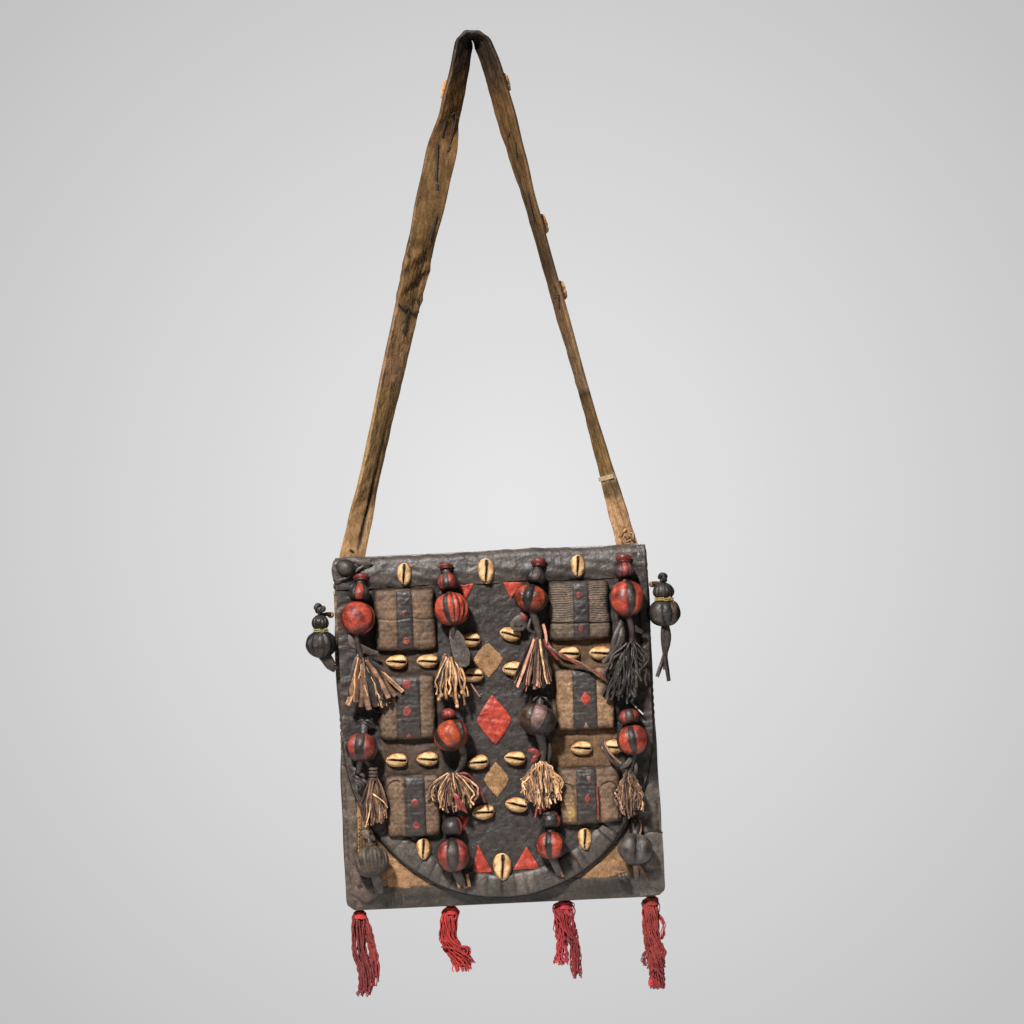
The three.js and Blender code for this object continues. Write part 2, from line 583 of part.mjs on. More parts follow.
// Dark pendants beside the curve of the flap, sewn to the front panel
const LOW_INSET = 23.5; // side of the bag to the low pendants
const LOW_RISE = 43; // bottom of the bag to the middle of the low balls
const LOW_LEAN = 2; // the knot sits this far out and the tail's end this far in
const LOW_KNOT = 22; // middle of the ball up to the knot
const LOW_TAIL = 25; // middle of the ball down to the tail's end
const LOW_X = HALF - LOW_INSET;
const LOW_DROP = BAG_HEIGHT - LOW_RISE;
const LOW_PENDANTS = [-1, 1].map((side) => ({
  name: side < 0 ? 'pendant_low_left' : 'pendant_low_right', material: DARK_BALL,
  bulbs: [[side * (LOW_X + LOW_LEAN), LOW_DROP - LOW_KNOT, 4.5, 4.5], [side * LOW_X, LOW_DROP, 13.5, 13]],
  tail: [side * (LOW_X - LOW_LEAN), LOW_DROP + LOW_TAIL],
}));

// Dark pendants at the side seams: bulbs as [drop, radius, half height], drops of the tie and the tail
const SIDE_PENDANTS = [
  {
    name: 'pendant_side_left', side: -1, tie: 46.5, tail: 94,
    bulbs: [[40.5, 6, 5], [52.5, 7.6, 7], [71.5, 12.6, 11.6]],
  },
  {
    name: 'pendant_side_right', side: 1, tie: 33, tail: 110,
    bulbs: [[27.5, 5, 4.4], [39, 9.6, 7.6], [58, 13.2, 11.8]],
  },
];

function makeSidePendants() {
  for (const { name, side, bulbs, tie, tail } of SIDE_PENDANTS) {
    const x = side * (HALF + SIDE_REACH);
    const y = FACE - SIDE_FORWARD;
    const at = (drop) => new THREE.Vector3(x, y, -drop);
    const chain = bulbs.map(([drop, radius, tall]) => [x, drop, radius, tall]);
    const lean = SIDE_FORWARD + LEATHER + TIE_RADIUS;
    const stand = TIE_RADIUS * lean / Math.hypot(lean, SIDE_REACH);
    const seat = new THREE.Vector3(side * (HALF + GAP + stand), y + lean, -tie);
    const parts = [
      bulbChain(chain, at(bulbs[0][0]), at(bulbs[2][0])),
      bar(at(tie), seat, TIE_RADIUS),
      bar(at(bulbs[2][0]), at(tail), 2 * THONG_RADIUS),
    ];
    add(bag, name, joined(parts), DARK_BALL);
  }
}

// Yarn tassels under the bottom seam: inset from the nearer side of the bag, side, length, radius
const YARN_TASSELS = [[10.5, -1, 78, 8], [90, -1, 60, 9], [87, 1, 71, 10], [10.5, 1, 83, 8.5]];

function makeYarnTassels() {
  YARN_TASSELS.forEach(([inset, side, length, radius], i) => {
    const profile = [
      [0, 0], [YARN_NECK * 0.7, YARN_NECK * 0.3], [YARN_NECK, YARN_NECK], [YARN_NECK, 2 * YARN_NECK],
      [radius * 0.8, 4 * YARN_NECK], [radius * 0.9, length * 0.35], [radius, length * 0.7],
      [radius * 0.85, length], [0, length],
    ].map(([r, drop]) => new THREE.Vector2(r, drop));
    const hank = new THREE.LatheGeometry(profile, 10).rotateX(-Math.PI / 2);
    const mesh = add(bag, `yarn_tassel_${i + 1}`, weld(hank), YARN);
    mesh.position.set(side * (HALF - inset), 0, -BAG_HEIGHT - GAP);
  });
}

makePouch();
makeStrap();
makeStrapCowries();
makeFlap();
makePackets();
makeFlapCowries();
FLAP_PENDANTS.forEach((spec) => pendant(spec, FLAP_FACE));
LOW_PENDANTS.forEach((spec) => pendant(spec, FACE));
makeSidePendants();
makeYarnTassels();

const diviner_bag = new THREE.Group();
diviner_bag.add(bag);

export default diviner_bag;
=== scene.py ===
"""Looks of a leather diviner's bag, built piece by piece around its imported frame."""

import math

import bmesh
import bpy
import numpy as np
from mathutils import Matrix, Vector


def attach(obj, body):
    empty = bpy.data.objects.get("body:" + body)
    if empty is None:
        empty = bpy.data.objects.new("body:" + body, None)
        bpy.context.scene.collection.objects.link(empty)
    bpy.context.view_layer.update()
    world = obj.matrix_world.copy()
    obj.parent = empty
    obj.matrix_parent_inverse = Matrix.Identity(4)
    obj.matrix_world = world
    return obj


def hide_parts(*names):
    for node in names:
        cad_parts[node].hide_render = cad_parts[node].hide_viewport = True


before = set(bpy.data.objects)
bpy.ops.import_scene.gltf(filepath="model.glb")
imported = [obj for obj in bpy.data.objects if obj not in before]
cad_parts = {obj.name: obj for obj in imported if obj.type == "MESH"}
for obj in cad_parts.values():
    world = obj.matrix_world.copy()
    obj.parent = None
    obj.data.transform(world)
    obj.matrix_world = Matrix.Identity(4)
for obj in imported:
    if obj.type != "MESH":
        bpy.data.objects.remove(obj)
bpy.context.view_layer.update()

# The bag's own millimetres: x from its centre line, y towards the back, z from its top edge
BAG_ORIGIN = np.array([-5.0, 0.0, -455.0])
HALF = 138.5
HEIGHT = 306.0
FACE = -15.0
BACK = 15.0
LEATHER = 2.6
FRONT_DROP = 4.5
FLAP_FACE = -18.6
FLAP_BACK = -15.6
FLAP_HALF = 135.5
FLAP_TOP = -8.0
# The flap's sides run straight down to STRAIGHT, then round off over CURVE
STRAIGHT = -155.0
CURVE = 145.0
RIM = 20.0
PACKET_SEAT = FLAP_FACE - 0.3
TASSEL_Y = FLAP_FACE - 13.3
GAP = 0.3
STRAP_TAB = 45.0
FRONT = np.array([0.0, -1.0, 0.0])
UP = np.array([0.0, 0.0, 1.0])
# Balls and beads are plumper than the CAD solids: shares of the radius and of the half height
PLUMP, PLUMP_TALL = 1.13, 1.05
BEAD_PLUMP, BEAD_TALL = 1.16, 1.12
# Edges sharper than this stay sharp (degrees), and painted shade gathers within this reach of other surfaces
# (metres)
SHARP_ANGLE = 52.0
SHADE_REACH = 0.009


def lin(r, g, b):
    """Linear colour of an 8-bit display colour."""
    c = np.array([r, g, b]) / 255
    return np.where(c <= 0.04045, c / 12.92, ((c + 0.055) / 1.055) ** 2.4)


BLACK = lin(57, 48, 43)
BLACK_WORN = lin(76, 66, 59)
GREY = lin(88, 76, 69)
COLUMN_LEFT = lin(84, 63, 47)
COLUMN_RIGHT = lin(122, 89, 58)
PACKET = lin(128, 100, 76)
PACKET_PALE = lin(156, 121, 88)
TAN = lin(166, 124, 84)
TAN_DARK = lin(114, 84, 56)
OLIVE = lin(86, 78, 67)
BROWN = lin(92, 67, 47)
LOZENGE = lin(164, 122, 79)
RED = lin(192, 68, 48)
RED_DULL = lin(144, 65, 58)
BALL_RED = lin(194, 78, 56)
BALL_DEEP = lin(162, 70, 60)
BALL_ORANGE = lin(186, 80, 47)
BALL_DARK = lin(71, 61, 55)
BALL_BLACK = lin(55, 49, 46)
WORN = lin(146, 112, 104)
STRIP_TAN = lin(212, 164, 116)
STRIP_CREAM = lin(238, 196, 146)
STRIP_BROWN = lin(142, 106, 82)
STRIP_DARK = lin(61, 50, 44)
STRIP_PINK = lin(214, 156, 128)
SHELL_CREAM = lin(250, 210, 152)
SHELL_ORANGE = lin(216, 150, 88)
SHELL_EDGE = lin(146, 92, 50)
# Near black of the cowries' slits: painted shade in the opening.
SHELL_SLIT_SHADE = lin(52, 30, 18)
OCHRE = lin(196, 156, 84)
CORD_GREEN = lin(186, 182, 96)
CORD_YELLOW = lin(186, 158, 86)
THREAD_DARK = lin(52, 42, 36)
QUILL = lin(226, 222, 212)
DARK_STRIPS = [STRIP_DARK, STRIP_BROWN * 0.6]


def smooth(x, low, high):
    """0 below low, 1 above high, eased between."""
    t = np.clip((np.asarray(x, float) - low) / (high - low), 0, 1)
    return t * t * (3 - 2 * t)


def unit(v):
    """Vectors at length 1."""
    v = np.asarray(v, float)
    return v / np.linalg.norm(v, axis=-1, keepdims=True)


def mix(a, b, share):
    """a where share is 0, b where it is 1."""
    share = np.asarray(share, float)[..., None]
    return a * (1 - share) + b * share


def wobble(points, size, seed, waves=7):
    """Smooth random field over points, about -1 to 1, with bumps of that size."""
    rng = np.random.default_rng(seed)
    way = unit(rng.normal(size=(waves, 3))) * (2 * np.pi / size) * rng.uniform(0.5, 1.5, (waves, 1))
    phase = rng.uniform(0, 2 * np.pi, waves)
    return np.sin(np.asarray(points, float) @ way.T + phase).sum(-1) / math.sqrt(waves)


def xz(x, z):
    """Points with those x and z, for wobble."""
    return np.stack(np.broadcast_arrays(x, 0.0, z), -1)


def spline(points, count):
    """Smooth path of count points through the given ones."""
    points = np.asarray(points, float)
    ends = np.vstack([2 * points[0] - points[1], points, 2 * points[-1] - points[-2]])
    span = len(points) - 1
    path = []
    for t in np.linspace(0, span, count):
        i = min(int(t), span - 1)
        f = t - i
        a, b, c, d = ends[i:i + 4]
        path.append(b + 0.5 * f * (c - a + f * (2 * a - 5 * b + 4 * c - d + f * (3 * (b - c) + d - a))))
    return np.array(path)


def grid(rows, cols, wrap=False):
    """Quads of a grid of points, row by row. wrap joins the last column to the first."""
    return [
        (i * cols + j, i * cols + (j + 1) % cols, (i + 1) * cols + (j + 1) % cols, (i + 1) * cols + j)
        for i in range(rows - 1)
        for j in range(cols if wrap else cols - 1)
    ]


def loft(rings):
    """Closed body through rings of points, with flat ends."""
    rows, cols = rings.shape[:2]
    ends = [tuple(range(cols)), tuple((rows - 1) * cols + j for j in range(cols))]
    return rings.reshape(-1, 3), grid(rows, cols, wrap=True) + ends


def sweep(path, width, thick, facing=FRONT, sides=8, square=2.0, turn=0.0):
    """Strip or tube along a path. Its flat face looks along facing, and square rounds its section."""
    path = np.asarray(path, float)
    n = len(path)
    along = unit(np.gradient(path, axis=0))
    out = np.broadcast_to(np.asarray(facing, float), (n, 3))
    out = unit(out - along * (out * along).sum(1, keepdims=True))
    across = np.cross(along, out)
    turn = np.broadcast_to(turn, n)[:, None]
    across, out = across * np.cos(turn) + out * np.sin(turn), out * np.cos(turn) - across * np.sin(turn)
    angle = np.linspace(0, 2 * np.pi, sides, endpoint=False) + np.pi / sides
    c, s = np.cos(angle), np.sin(angle)
    c, s = np.sign(c) * np.abs(c) ** (2 / square), np.sign(s) * np.abs(s) ** (2 / square)
    half_width = np.broadcast_to(width, n)[:, None, None] / 2
    half_thick = np.broadcast_to(thick, n)[:, None, None] / 2
    wide, deep = across[:, None] * c[:, None] * half_width, out[:, None] * s[:, None] * half_thick
    return loft(path[:, None] + wide + deep)


def border(rows, cols):
    """Indices round the edge of a grid of points."""
    rim = list(range(cols)) + [r * cols + cols - 1 for r in range(1, rows)]
    rim += [(rows - 1) * cols + c for c in range(cols - 2, -1, -1)]
    return rim + [r * cols for r in range(rows - 2, 0, -1)]


def dome(front):
    """Closed cushion: a grid of points with one flat face behind its edge."""
    rows, cols = front.shape[:2]
    return front.reshape(-1, 3), grid(rows, cols) + [tuple(border(rows, cols))]


def slab(front, back):
    """Closed sheet between two grids of points."""
    rows, cols = front.shape[:2]
    n = rows * cols
    faces = grid(rows, cols)
    rim = border(rows, cols)
    walls = [(a, b, b + n, a + n) for a, b in zip(rim, rim[1:] + rim[:1])]
    faces = faces + [tuple(i + n for i in f) for f in faces] + walls
    return np.concatenate([front.reshape(-1, 3), back.reshape(-1, 3)]), faces


def patch(edges, surface, lift, rows=20, cols=9, ripple=0.0, seed=0, sink=0.5):
    """Thin piece sewn on a surface. edges are (z, left x, right x), from its top to its bottom."""
    edges = np.asarray(edges, float)
    at = np.linspace(0, len(edges) - 1, rows)
    z, left, right = (np.interp(at, range(len(edges)), e) for e in edges.T)
    u = np.sin(np.linspace(-np.pi / 2, np.pi / 2, cols))
    x = (left + right)[:, None] / 2 + u * (right - left)[:, None] / 2
    z = np.broadcast_to(z[:, None], x.shape)
    v = np.linspace(-1, 1, rows)[:, None]
    base = surface(x, z)
    soft = 0.45 + 0.55 * (1 - np.abs(u) ** 5) * (1 - np.abs(v) ** 8)
    uneven = 0.7 * wobble(xz(x * 0.35, z), 7, seed) + 0.5 * wobble(xz(x, z), 22, seed + 1)
    front = np.stack([x, base - np.maximum(lift * soft + ripple * uneven, 0.15), z], -1)
    return slab(front, np.stack([x, base + sink, z], -1))


def lozenge(x, z, half_width, half_height, steps=9, waist=0.0):
    """Edges of a diamond with worn corners for patch."""
    v = np.linspace(-1, 1, 2 * steps + 1)
    half = half_width * np.maximum(1 - np.abs(v) ** 1.18, 0.02) ** (1 / 1.18)
    return [(z - half_height * t, x + waist * t - h, x + waist * t + h) for t, h in zip(v, half)]


def disc(x, z, half_width, half_height, steps=9):
    """Edges of an oval for patch."""
    v = np.linspace(-0.995, 0.995, steps)
    half = half_width * np.sqrt(1 - v * v)
    return [(z - half_height * t, x - h, x + h) for t, h in zip(v, half)]


def triangle(apex, left, right):
    """Edges of a triangle for patch, its apex at the top or at the bottom."""
    low = (left[1] + right[1]) / 2
    rows = [(apex[1], apex[0] - 0.4, apex[0] + 0.4), (low, left[0], right[0])]
    return rows if apex[1] > low else rows[::-1]


def axes(axis):
    """Right and front directions square to an axis that points up."""
    axis = unit(axis)
    right = unit(np.cross(axis, FRONT))
    return axis, right, np.cross(right, axis)


def ball(middle, axis, radius, tall, gores, start, pinch=0.07, rings=16, taper=0.0, seam=0.5, valley=5.0):
    """Stuffed body sewn from gores (width in degrees, tint), from the angle start. 0 faces the viewer."""
    angle, gap, tints = [], [], []
    at = start
    for width, tint in gores:
        steps = max(3, round(width / 9))
        for k, mark in enumerate([0, *np.linspace(0.07, 0.93, steps)]):
            angle.append(math.radians(at + width * mark))
            gap.append(width * min(mark, 1 - mark))
            tints.append(tint * (seam if k in (0, steps) else 1))
        at += width
    lift = np.radians(np.linspace(-86, 86, rings))[:, None]
    axis, right, front = axes(axis)
    across = np.cos(angle)[:, None] * front + np.sin(angle)[:, None] * right
    drawn = 1 - pinch * np.exp(-(np.array(gap) / valley) ** 2)
    reach = radius * np.cos(lift) ** 0.9 * (1 - taper * np.sin(lift)) * drawn
    points = np.asarray(middle) + reach[..., None] * across + (tall * np.sin(lift))[..., None] * axis
    points = points + (wobble(points, 9, 5) * 0.022 * radius)[..., None] * across
    stain = 0.38 + 0.62 * smooth(wobble(points, 13, 6), -1.0, 0.5)
    # Darker towards both poles.
    stain = stain * (1 - 0.5 * smooth(np.abs(np.sin(lift)), 0.72, 1.0))
    shape = loft(points)
    return *shape, np.array(tints * (rings - 1) + [tints[0]] * 2), stain.ravel()


class Skin:
    """Mesh in the making: points in the bag's millimetres, faces with a tint and a material each."""

    def __init__(self):
        self.points, self.faces, self.tints, self.slots, self.size = [], [], [], [], 0

    def add(self, shape, tint=None, slot=0):
        """tint is one colour or one for each point. A ball brings face tints and a shade for each point."""
        points, faces = shape[0], shape[1]
        if len(shape) == 4:
            for face, colour in zip(faces, shape[2]):
                self.tints += [colour * shape[3][i] for i in face]
        elif np.ndim(tint) == 1:
            self.tints += [tint] * sum(len(face) for face in faces)
        else:
            self.tints += [tint[i] for face in faces for i in face]
        self.faces += [tuple(i + self.size for i in face) for face in faces]
        self.slots += [slot] * len(faces)
        self.points.append(points)
        self.size += len(points)
        return self

    def mesh(self, name, materials, local=False):
        """Mesh in metres, moved to the bag's place unless it is local."""
        points = np.concatenate(self.points)
        if not local:
            points = points + BAG_ORIGIN
        made = bpy.data.meshes.new(name)
        made.from_pydata((points / 1000).tolist(), [], self.faces)
        layer = made.color_attributes.new("tint", "FLOAT_COLOR", "CORNER")
        colours = np.concatenate([np.array(self.tints), np.ones((len(self.tints), 1))], 1)
        layer.data.foreach_set("color", colours.astype(np.float32).ravel())
        made.polygons.foreach_set("material_index", self.slots)
        made.polygons.foreach_set("use_smooth", [True] * len(self.faces))
        work = bmesh.new()
        work.from_mesh(made)
        bmesh.ops.recalc_face_normals(work, faces=work.faces)
        work.to_mesh(made)
        work.free()
        made.set_sharp_from_angle(angle=math.radians(SHARP_ANGLE))
        for material in materials:
            made.materials.append(material)
        return made

    def build(self, name, body, slot, materials, nodes=()):
        """Piece with this skin, settled on its body."""
        made = bpy.data.objects.new(name, self.mesh(name, materials))
        return settle(made, body, nodes)


def settle(piece, body, nodes=()):
    """Puts a piece in the scene on its body, in the place of its CAD nodes."""
    bpy.context.scene.collection.objects.link(piece)
    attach(piece, body)
    if nodes:
        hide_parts(*nodes)
    return piece


class Nodes:
    """Short forms for building a material's nodes."""

    def __init__(self, material, stretch=1.0):
        material.use_nodes = True
        self.tree = material.node_tree
        self.shader = self.tree.nodes["Principled BSDF"]
        self.place = self.add("ShaderNodeTexCoord").outputs["Object"]
        if stretch != 1.0:
            drawn = self.add("ShaderNodeVectorMath", operation="MULTIPLY")
            drawn.inputs[1].default_value = (1, 1, stretch)
            self.join(self.place, drawn.inputs[0])
            self.place = drawn.outputs["Vector"]

    def add(self, kind, **settings):
        node = self.tree.nodes.new(kind)
        for key, value in settings.items():
            setattr(node, key, value)
        return node

    def join(self, output, socket):
        self.tree.links.new(output, socket)

    def noise(self, scale, detail=4.0, roughness=0.6, distortion=0.0):
        node = self.add("ShaderNodeTexNoise")
        self.join(self.place, node.inputs["Vector"])
        for key, value in (("Scale", scale), ("Detail", detail), ("Roughness", roughness),
                           ("Distortion", distortion)):
            node.inputs[key].default_value = value
        return node.outputs["Fac"]

    def spread(self, value, low, high, to_low, to_high):
        node = self.add("ShaderNodeMapRange")
        self.join(value, node.inputs["Value"])
        for key, number in zip(("From Min", "From Max", "To Min", "To Max"), (low, high, to_low, to_high)):
            node.inputs[key].default_value = number
        return node.outputs["Result"]

    def math(self, operation, a, b=0.0):
        node = self.add("ShaderNodeMath", operation=operation)
        for value, socket in ((a, node.inputs[0]), (b, node.inputs[1])):
            if isinstance(value, (int, float)):
                socket.default_value = value
            else:
                self.join(value, socket)
        return node.outputs["Value"]

    def blend(self, kind, share, a, b):
        node = self.add("ShaderNodeMix", data_type="RGBA", blend_type=kind)
        inputs = [s for s in node.inputs if s.type == "RGBA"]
        for value, socket in ((share, node.inputs["Factor"]), (a, inputs[0]), (b, inputs[1])):
            if isinstance(value, (int, float)):
                socket.default_value = value
            elif isinstance(value, np.ndarray):
                socket.default_value = (*value, 1)
            else:
                self.join(value, socket)
        return [s for s in node.outputs if s.type == "RGBA"][0]

    def tint(self):
        return self.add("ShaderNodeAttribute", attribute_name="tint").outputs["Color"]

    def occlusion_shade(self):
        """Painted shade: 1 in the open, less where other surfaces are near, darkening nooks and gaps as
        shade would.
        """
        node = self.add("ShaderNodeAmbientOcclusion")
        node.samples = 6
        node.inputs["Distance"].default_value = SHADE_REACH
        return node.outputs["AO"]

    def bump(self, height, strength, distance):
        node = self.add("ShaderNodeBump")
        node.inputs["Strength"].default_value = strength
        node.inputs["Distance"].default_value = distance
        self.join(height, node.inputs["Height"])
        self.join(node.outputs["Normal"], self.shader.inputs["Normal"])

    def colour(self, output):
        self.join(output, self.shader.inputs["Base Color"])

    def roughness(self, output):
        self.join(output, self.shader.inputs["Roughness"])


def leather(name, rough, contrast, rub_and_glint, crease, relief, gloss, stretch=1.0):
    """Worn leather over a piece's tints: stains, rubbed spots, light specks that are partly painted glints,
    lumps and creases, drawn out along z, and painted shade near other surfaces.
    """
    made = bpy.data.materials.new(name)
    n = Nodes(made, stretch)
    stain, smear = n.noise(30, 4, 0.6), n.noise(85, 5, 0.6, 0.8)
    mottle, fine = n.noise(230, 6, 0.7), n.noise(900, 4, 0.65)
    shade = n.math("ADD", n.spread(stain, 0.34, 0.66, 0, 0.3), n.spread(smear, 0.36, 0.64, 0, 0.32))
    shade = n.math("ADD", shade, n.spread(mottle, 0.38, 0.62, 0, 0.38))
    base = n.blend("MULTIPLY", 1.0, n.tint(), n.spread(shade, 0, 1, 1 - contrast, 1.28))
    base = n.blend("MULTIPLY", 1.0, base, n.spread(fine, 0.34, 0.62, 0.64, 1.18))
    edges = n.spread(n.add("ShaderNodeNewGeometry").outputs["Pointiness"], 0.5, 0.58, 0, 1)
    # Light specks of dust that also stand in for glints: partly painted highlight.
    dust_and_glint_specks = n.spread(n.noise(260, 3, 0.6), 0.6, 0.68, 0, 1)
    rubbed_and_glinting = n.math("MULTIPLY", n.math("MAXIMUM", edges, dust_and_glint_specks), rub_and_glint)
    base = n.blend("MULTIPLY", rubbed_and_glinting, base, np.array([3.0, 2.7, 2.5]))
    fold = n.math("ABSOLUTE", n.math("SUBTRACT", n.noise(95, 3, 0.55, 1.4), 0.5))
    line = n.math("MULTIPLY", n.spread(fold, 0, 0.02, 1, 0), n.spread(smear, 0.45, 0.6, 0, 1))
    base = n.blend("MULTIPLY", n.math("MULTIPLY", line, crease), base, lin(110, 94, 86))
    # Painted shade: the colour darkens where other surfaces are near.
    n.colour(n.blend("MULTIPLY", 1.0, base, n.spread(n.occlusion_shade(), 0.35, 0.92, 0.1, 1.0)))
    n.roughness(n.spread(mottle, 0.3, 0.7, *rough))
    lumps = n.math("ADD", n.noise(130, 1.5, 0.45, 0.7), n.math("MULTIPLY", n.noise(330, 1, 0.4, 0.5), 0.35))
    height = n.math("ADD", lumps, n.math("MULTIPLY", mottle, 0.14))
    n.bump(n.math("SUBTRACT", height, n.math("MULTIPLY", line, 0.16 * crease)), relief, 0.005)
    n.shader.inputs["Specular IOR Level"].default_value = gloss
    return made


def shell_material():
    """Cowrie: worn glaze with stains and fine cracks."""
    made = bpy.data.materials.new("cowrie_shell")
    n = Nodes(made)
    bands = n.noise(420, 7, 0.75, 0.6)
    base = n.blend("MULTIPLY", 1.0, n.tint(), n.spread(bands, 0.36, 0.64, 0.66, 1.06))
    base = n.blend("MIX", n.spread(n.noise(190, 6, 0.7), 0.5, 0.68, 0, 0.5), base, lin(204, 134, 72))
    pits = n.spread(n.noise(700, 5, 0.8), 0.56, 0.66, 0, 0.6)
    n.colour(n.blend("MULTIPLY", pits, base, lin(140, 90, 60)))
    n.roughness(n.spread(bands, 0.3, 0.7, 0.4, 0.62))
    n.bump(bands, 0.6, 0.0012)
    return made


def yarn_material():
    """Dull spun fibre over the strands' tints."""
    made = bpy.data.materials.new("yarn")
    n = Nodes(made)
    fibre = n.noise(1700, 4, 0.7)
    base = n.blend("MULTIPLY", 1.0, n.tint(), n.spread(fibre, 0.32, 0.68, 0.5, 1.08))
    n.colour(n.blend("MULTIPLY", n.spread(n.noise(110, 4), 0.45, 0.7, 0, 0.7), base, lin(180, 140, 130)))
    n.roughness(n.spread(fibre, 0.3, 0.7, 0.8, 1))
    n.bump(fibre, 0.6, 0.0006)
    n.shader.inputs["Sheen Weight"].default_value = 0.15
    return made


DRY = leather("dry_leather", (0.5, 0.78), 0.74, 0.45, 0.6, 0.2, 0.45)
SMOOTH = leather("smooth_leather", (0.42, 0.64), 0.66, 0.5, 0.35, 0.24, 0.6)
PAINTED = leather("painted_leather", (0.36, 0.6), 0.8, 0.2, 0.9, 0.22, 0.5)
STRAP = leather("strap_leather", (0.5, 0.75), 0.7, 0.08, 0.2, 0.28, 0.4, 0.42)
SHELL = shell_material()
YARN = yarn_material()
LEATHERS = [DRY, SMOOTH, PAINTED, YARN, STRAP]
IN_DRY, IN_SMOOTH, IN_PAINTED, IN_YARN, IN_STRAP = range(5)


def stitches(skin, path, surface_normal, spacing, length, radius, tint, slant=0.0):
    """Row of short thread stitches along a path."""
    path = np.asarray(path, float)
    run = np.concatenate([[0], np.cumsum(np.linalg.norm(np.diff(path, axis=0), axis=1))])
    out = unit(surface_normal)
    for at in np.arange(spacing / 2, run[-1], spacing):
        here = np.array([np.interp(at, run, path[:, k]) for k in range(3)])
        ahead = np.array([np.interp(min(at + 0.5, run[-1]), run, path[:, k]) for k in range(3)])
        along = unit(ahead - here + 1e-9)
        side = np.cross(along, out)
        along = unit(along + slant * side)
        reach = np.array([-0.5, -0.3, 0, 0.3, 0.5])[:, None] * length
        arch = np.array([-0.6, 0.3, 0.6, 0.3, -0.6])[:, None] * radius
        thread = sweep(here + reach * along + arch * out, 2 * radius, 1.6 * radius, out, sides=6)
        skin.add(thread, tint, IN_YARN)


def front_panel(x, z):
    """y of the pouch's front, which leans back at the mouth and rounds off at the bottom and the sides."""
    lean = 2.2 * smooth(z, -70, -2)
    under = 6.5 * smooth(-z, HEIGHT - 26, HEIGHT) ** 2
    side = 3.0 * smooth(np.abs(x), HALF - 14, HALF) ** 2
    soft = 0.5 + 0.5 * wobble(xz(x, z), 60, 11)
    return FACE + lean + under + side + 0.6 * soft


def back_panel(x, z):
    """y of the pouch's back, which hangs in soft waves between its side seams."""
    low = 5.0 * smooth(-z, HEIGHT - 30, HEIGHT) ** 2
    wave = 1.7 * wobble(xz(x, z), 90, 12) + 0.6 * wobble(xz(x, z), 30, 13)
    return BACK - low + np.clip(wave, -3.2, 1.4) * (1 - smooth(np.abs(x), HALF - 24, HALF - 5))


def make_pouch():
    """The sewn pouch: one shell that hangs slack, open at the top, sewn along its sides and bottom."""
    rows, across, corner = 80, 66, 9.0
    bend = np.radians(np.linspace(0, 90, 7))

    def ring(z, inset):
        corner_drop = min(max((-z - HEIGHT + 8) / 8, 0), 1)
        flare = 1.6 * float(smooth(-z, 120, HEIGHT)) - 5.0 * (1 - math.sqrt(1 - corner_drop ** 2))
        waves = [0.8 * float(wobble(xz(s * 40.0, z), 55, 21)) for s in (-1, 1)]
        left, right = -(HALF + flare + waves[0] - inset), HALF + flare + waves[1] - inset
        low = float(smooth(-z, HEIGHT - 30, HEIGHT)) ** 2
        near = FACE + 2.2 * float(smooth(z, -70, -2)) + 6.5 * low + inset
        far = BACK - 5.0 * low - inset
        r = min(corner, (far - near) / 2 - 0.2) - 0.6 * inset
        c, s = r * np.cos(bend), r * np.sin(bend)
        xs = [np.linspace(left + r, right - r, across), right - r + s, right - r + c]
        xs += [np.linspace(right - r, left + r, across), left + r - s, left + r - c]
        ys = [np.full(across, near), near + r - c, far - r + s]
        ys += [np.full(across, far), far - r + c, near + r - s]
        x, y = np.concatenate(xs), np.concatenate(ys)
        return np.column_stack([x, y, np.minimum(z, -FRONT_DROP * (1 - smooth(y, 4, 11)))])

    heights = -HEIGHT * np.linspace(0, 1, rows) ** 0.92
    outer = np.array([ring(z, 0) for z in heights])
    inner = np.array([ring(z, LEATHER) for z in heights[:-2]])[::-1]
    for part in (outer, inner):
        x, y, z = np.moveaxis(part, -1, 0)
        level = back_panel(0 * x + HALF, z)
        slack = np.abs(wobble(part, 24, 13)) * 0.2
        part[..., 1] += np.where(y < 0, slack, (back_panel(x, z) - level) * smooth(y, 0, 8))
    x, y, z = np.moveaxis(outer, -1, 0)
    soiled = 0.75 * smooth(wobble(outer, 80, 16) + 0.5 * wobble(outer, 25, 17), -0.4, 1.4)
    tint = mix(mix(TAN, TAN_DARK, soiled), BLACK_WORN, smooth(np.abs(x), HALF - 12, HALF - 8))
    hide = mix(BROWN, TAN_DARK, smooth(wobble(outer, 110, 14) + 0.5 * wobble(outer, 40, 15), -0.4, 1.2))
    hide = mix(hide, BROWN * 0.45, smooth(np.abs(x), HALF - 30, HALF + 4))
    hide = mix(hide, BROWN * 0.45, smooth(-z, HEIGHT - 30, HEIGHT + 6))
    tint = mix(tint, hide, smooth(y, 5, 9))
    inside = np.broadcast_to(TAN_DARK, inner.shape)
    shape = loft(np.concatenate([outer[::-1], inner[::-1]]))
    colours = np.concatenate([tint[::-1].reshape(-1, 3), inside[::-1].reshape(-1, 3)])
    skin = Skin().add(shape, colours, IN_DRY)
    sew_pouch(skin)
    nodes = ["back_panel", "front_panel", "side_gusset_left", "side_gusset_right", "bottom_gusset"]
    return skin.build("pouch", "bag", "brown_leather", LEATHERS, nodes)


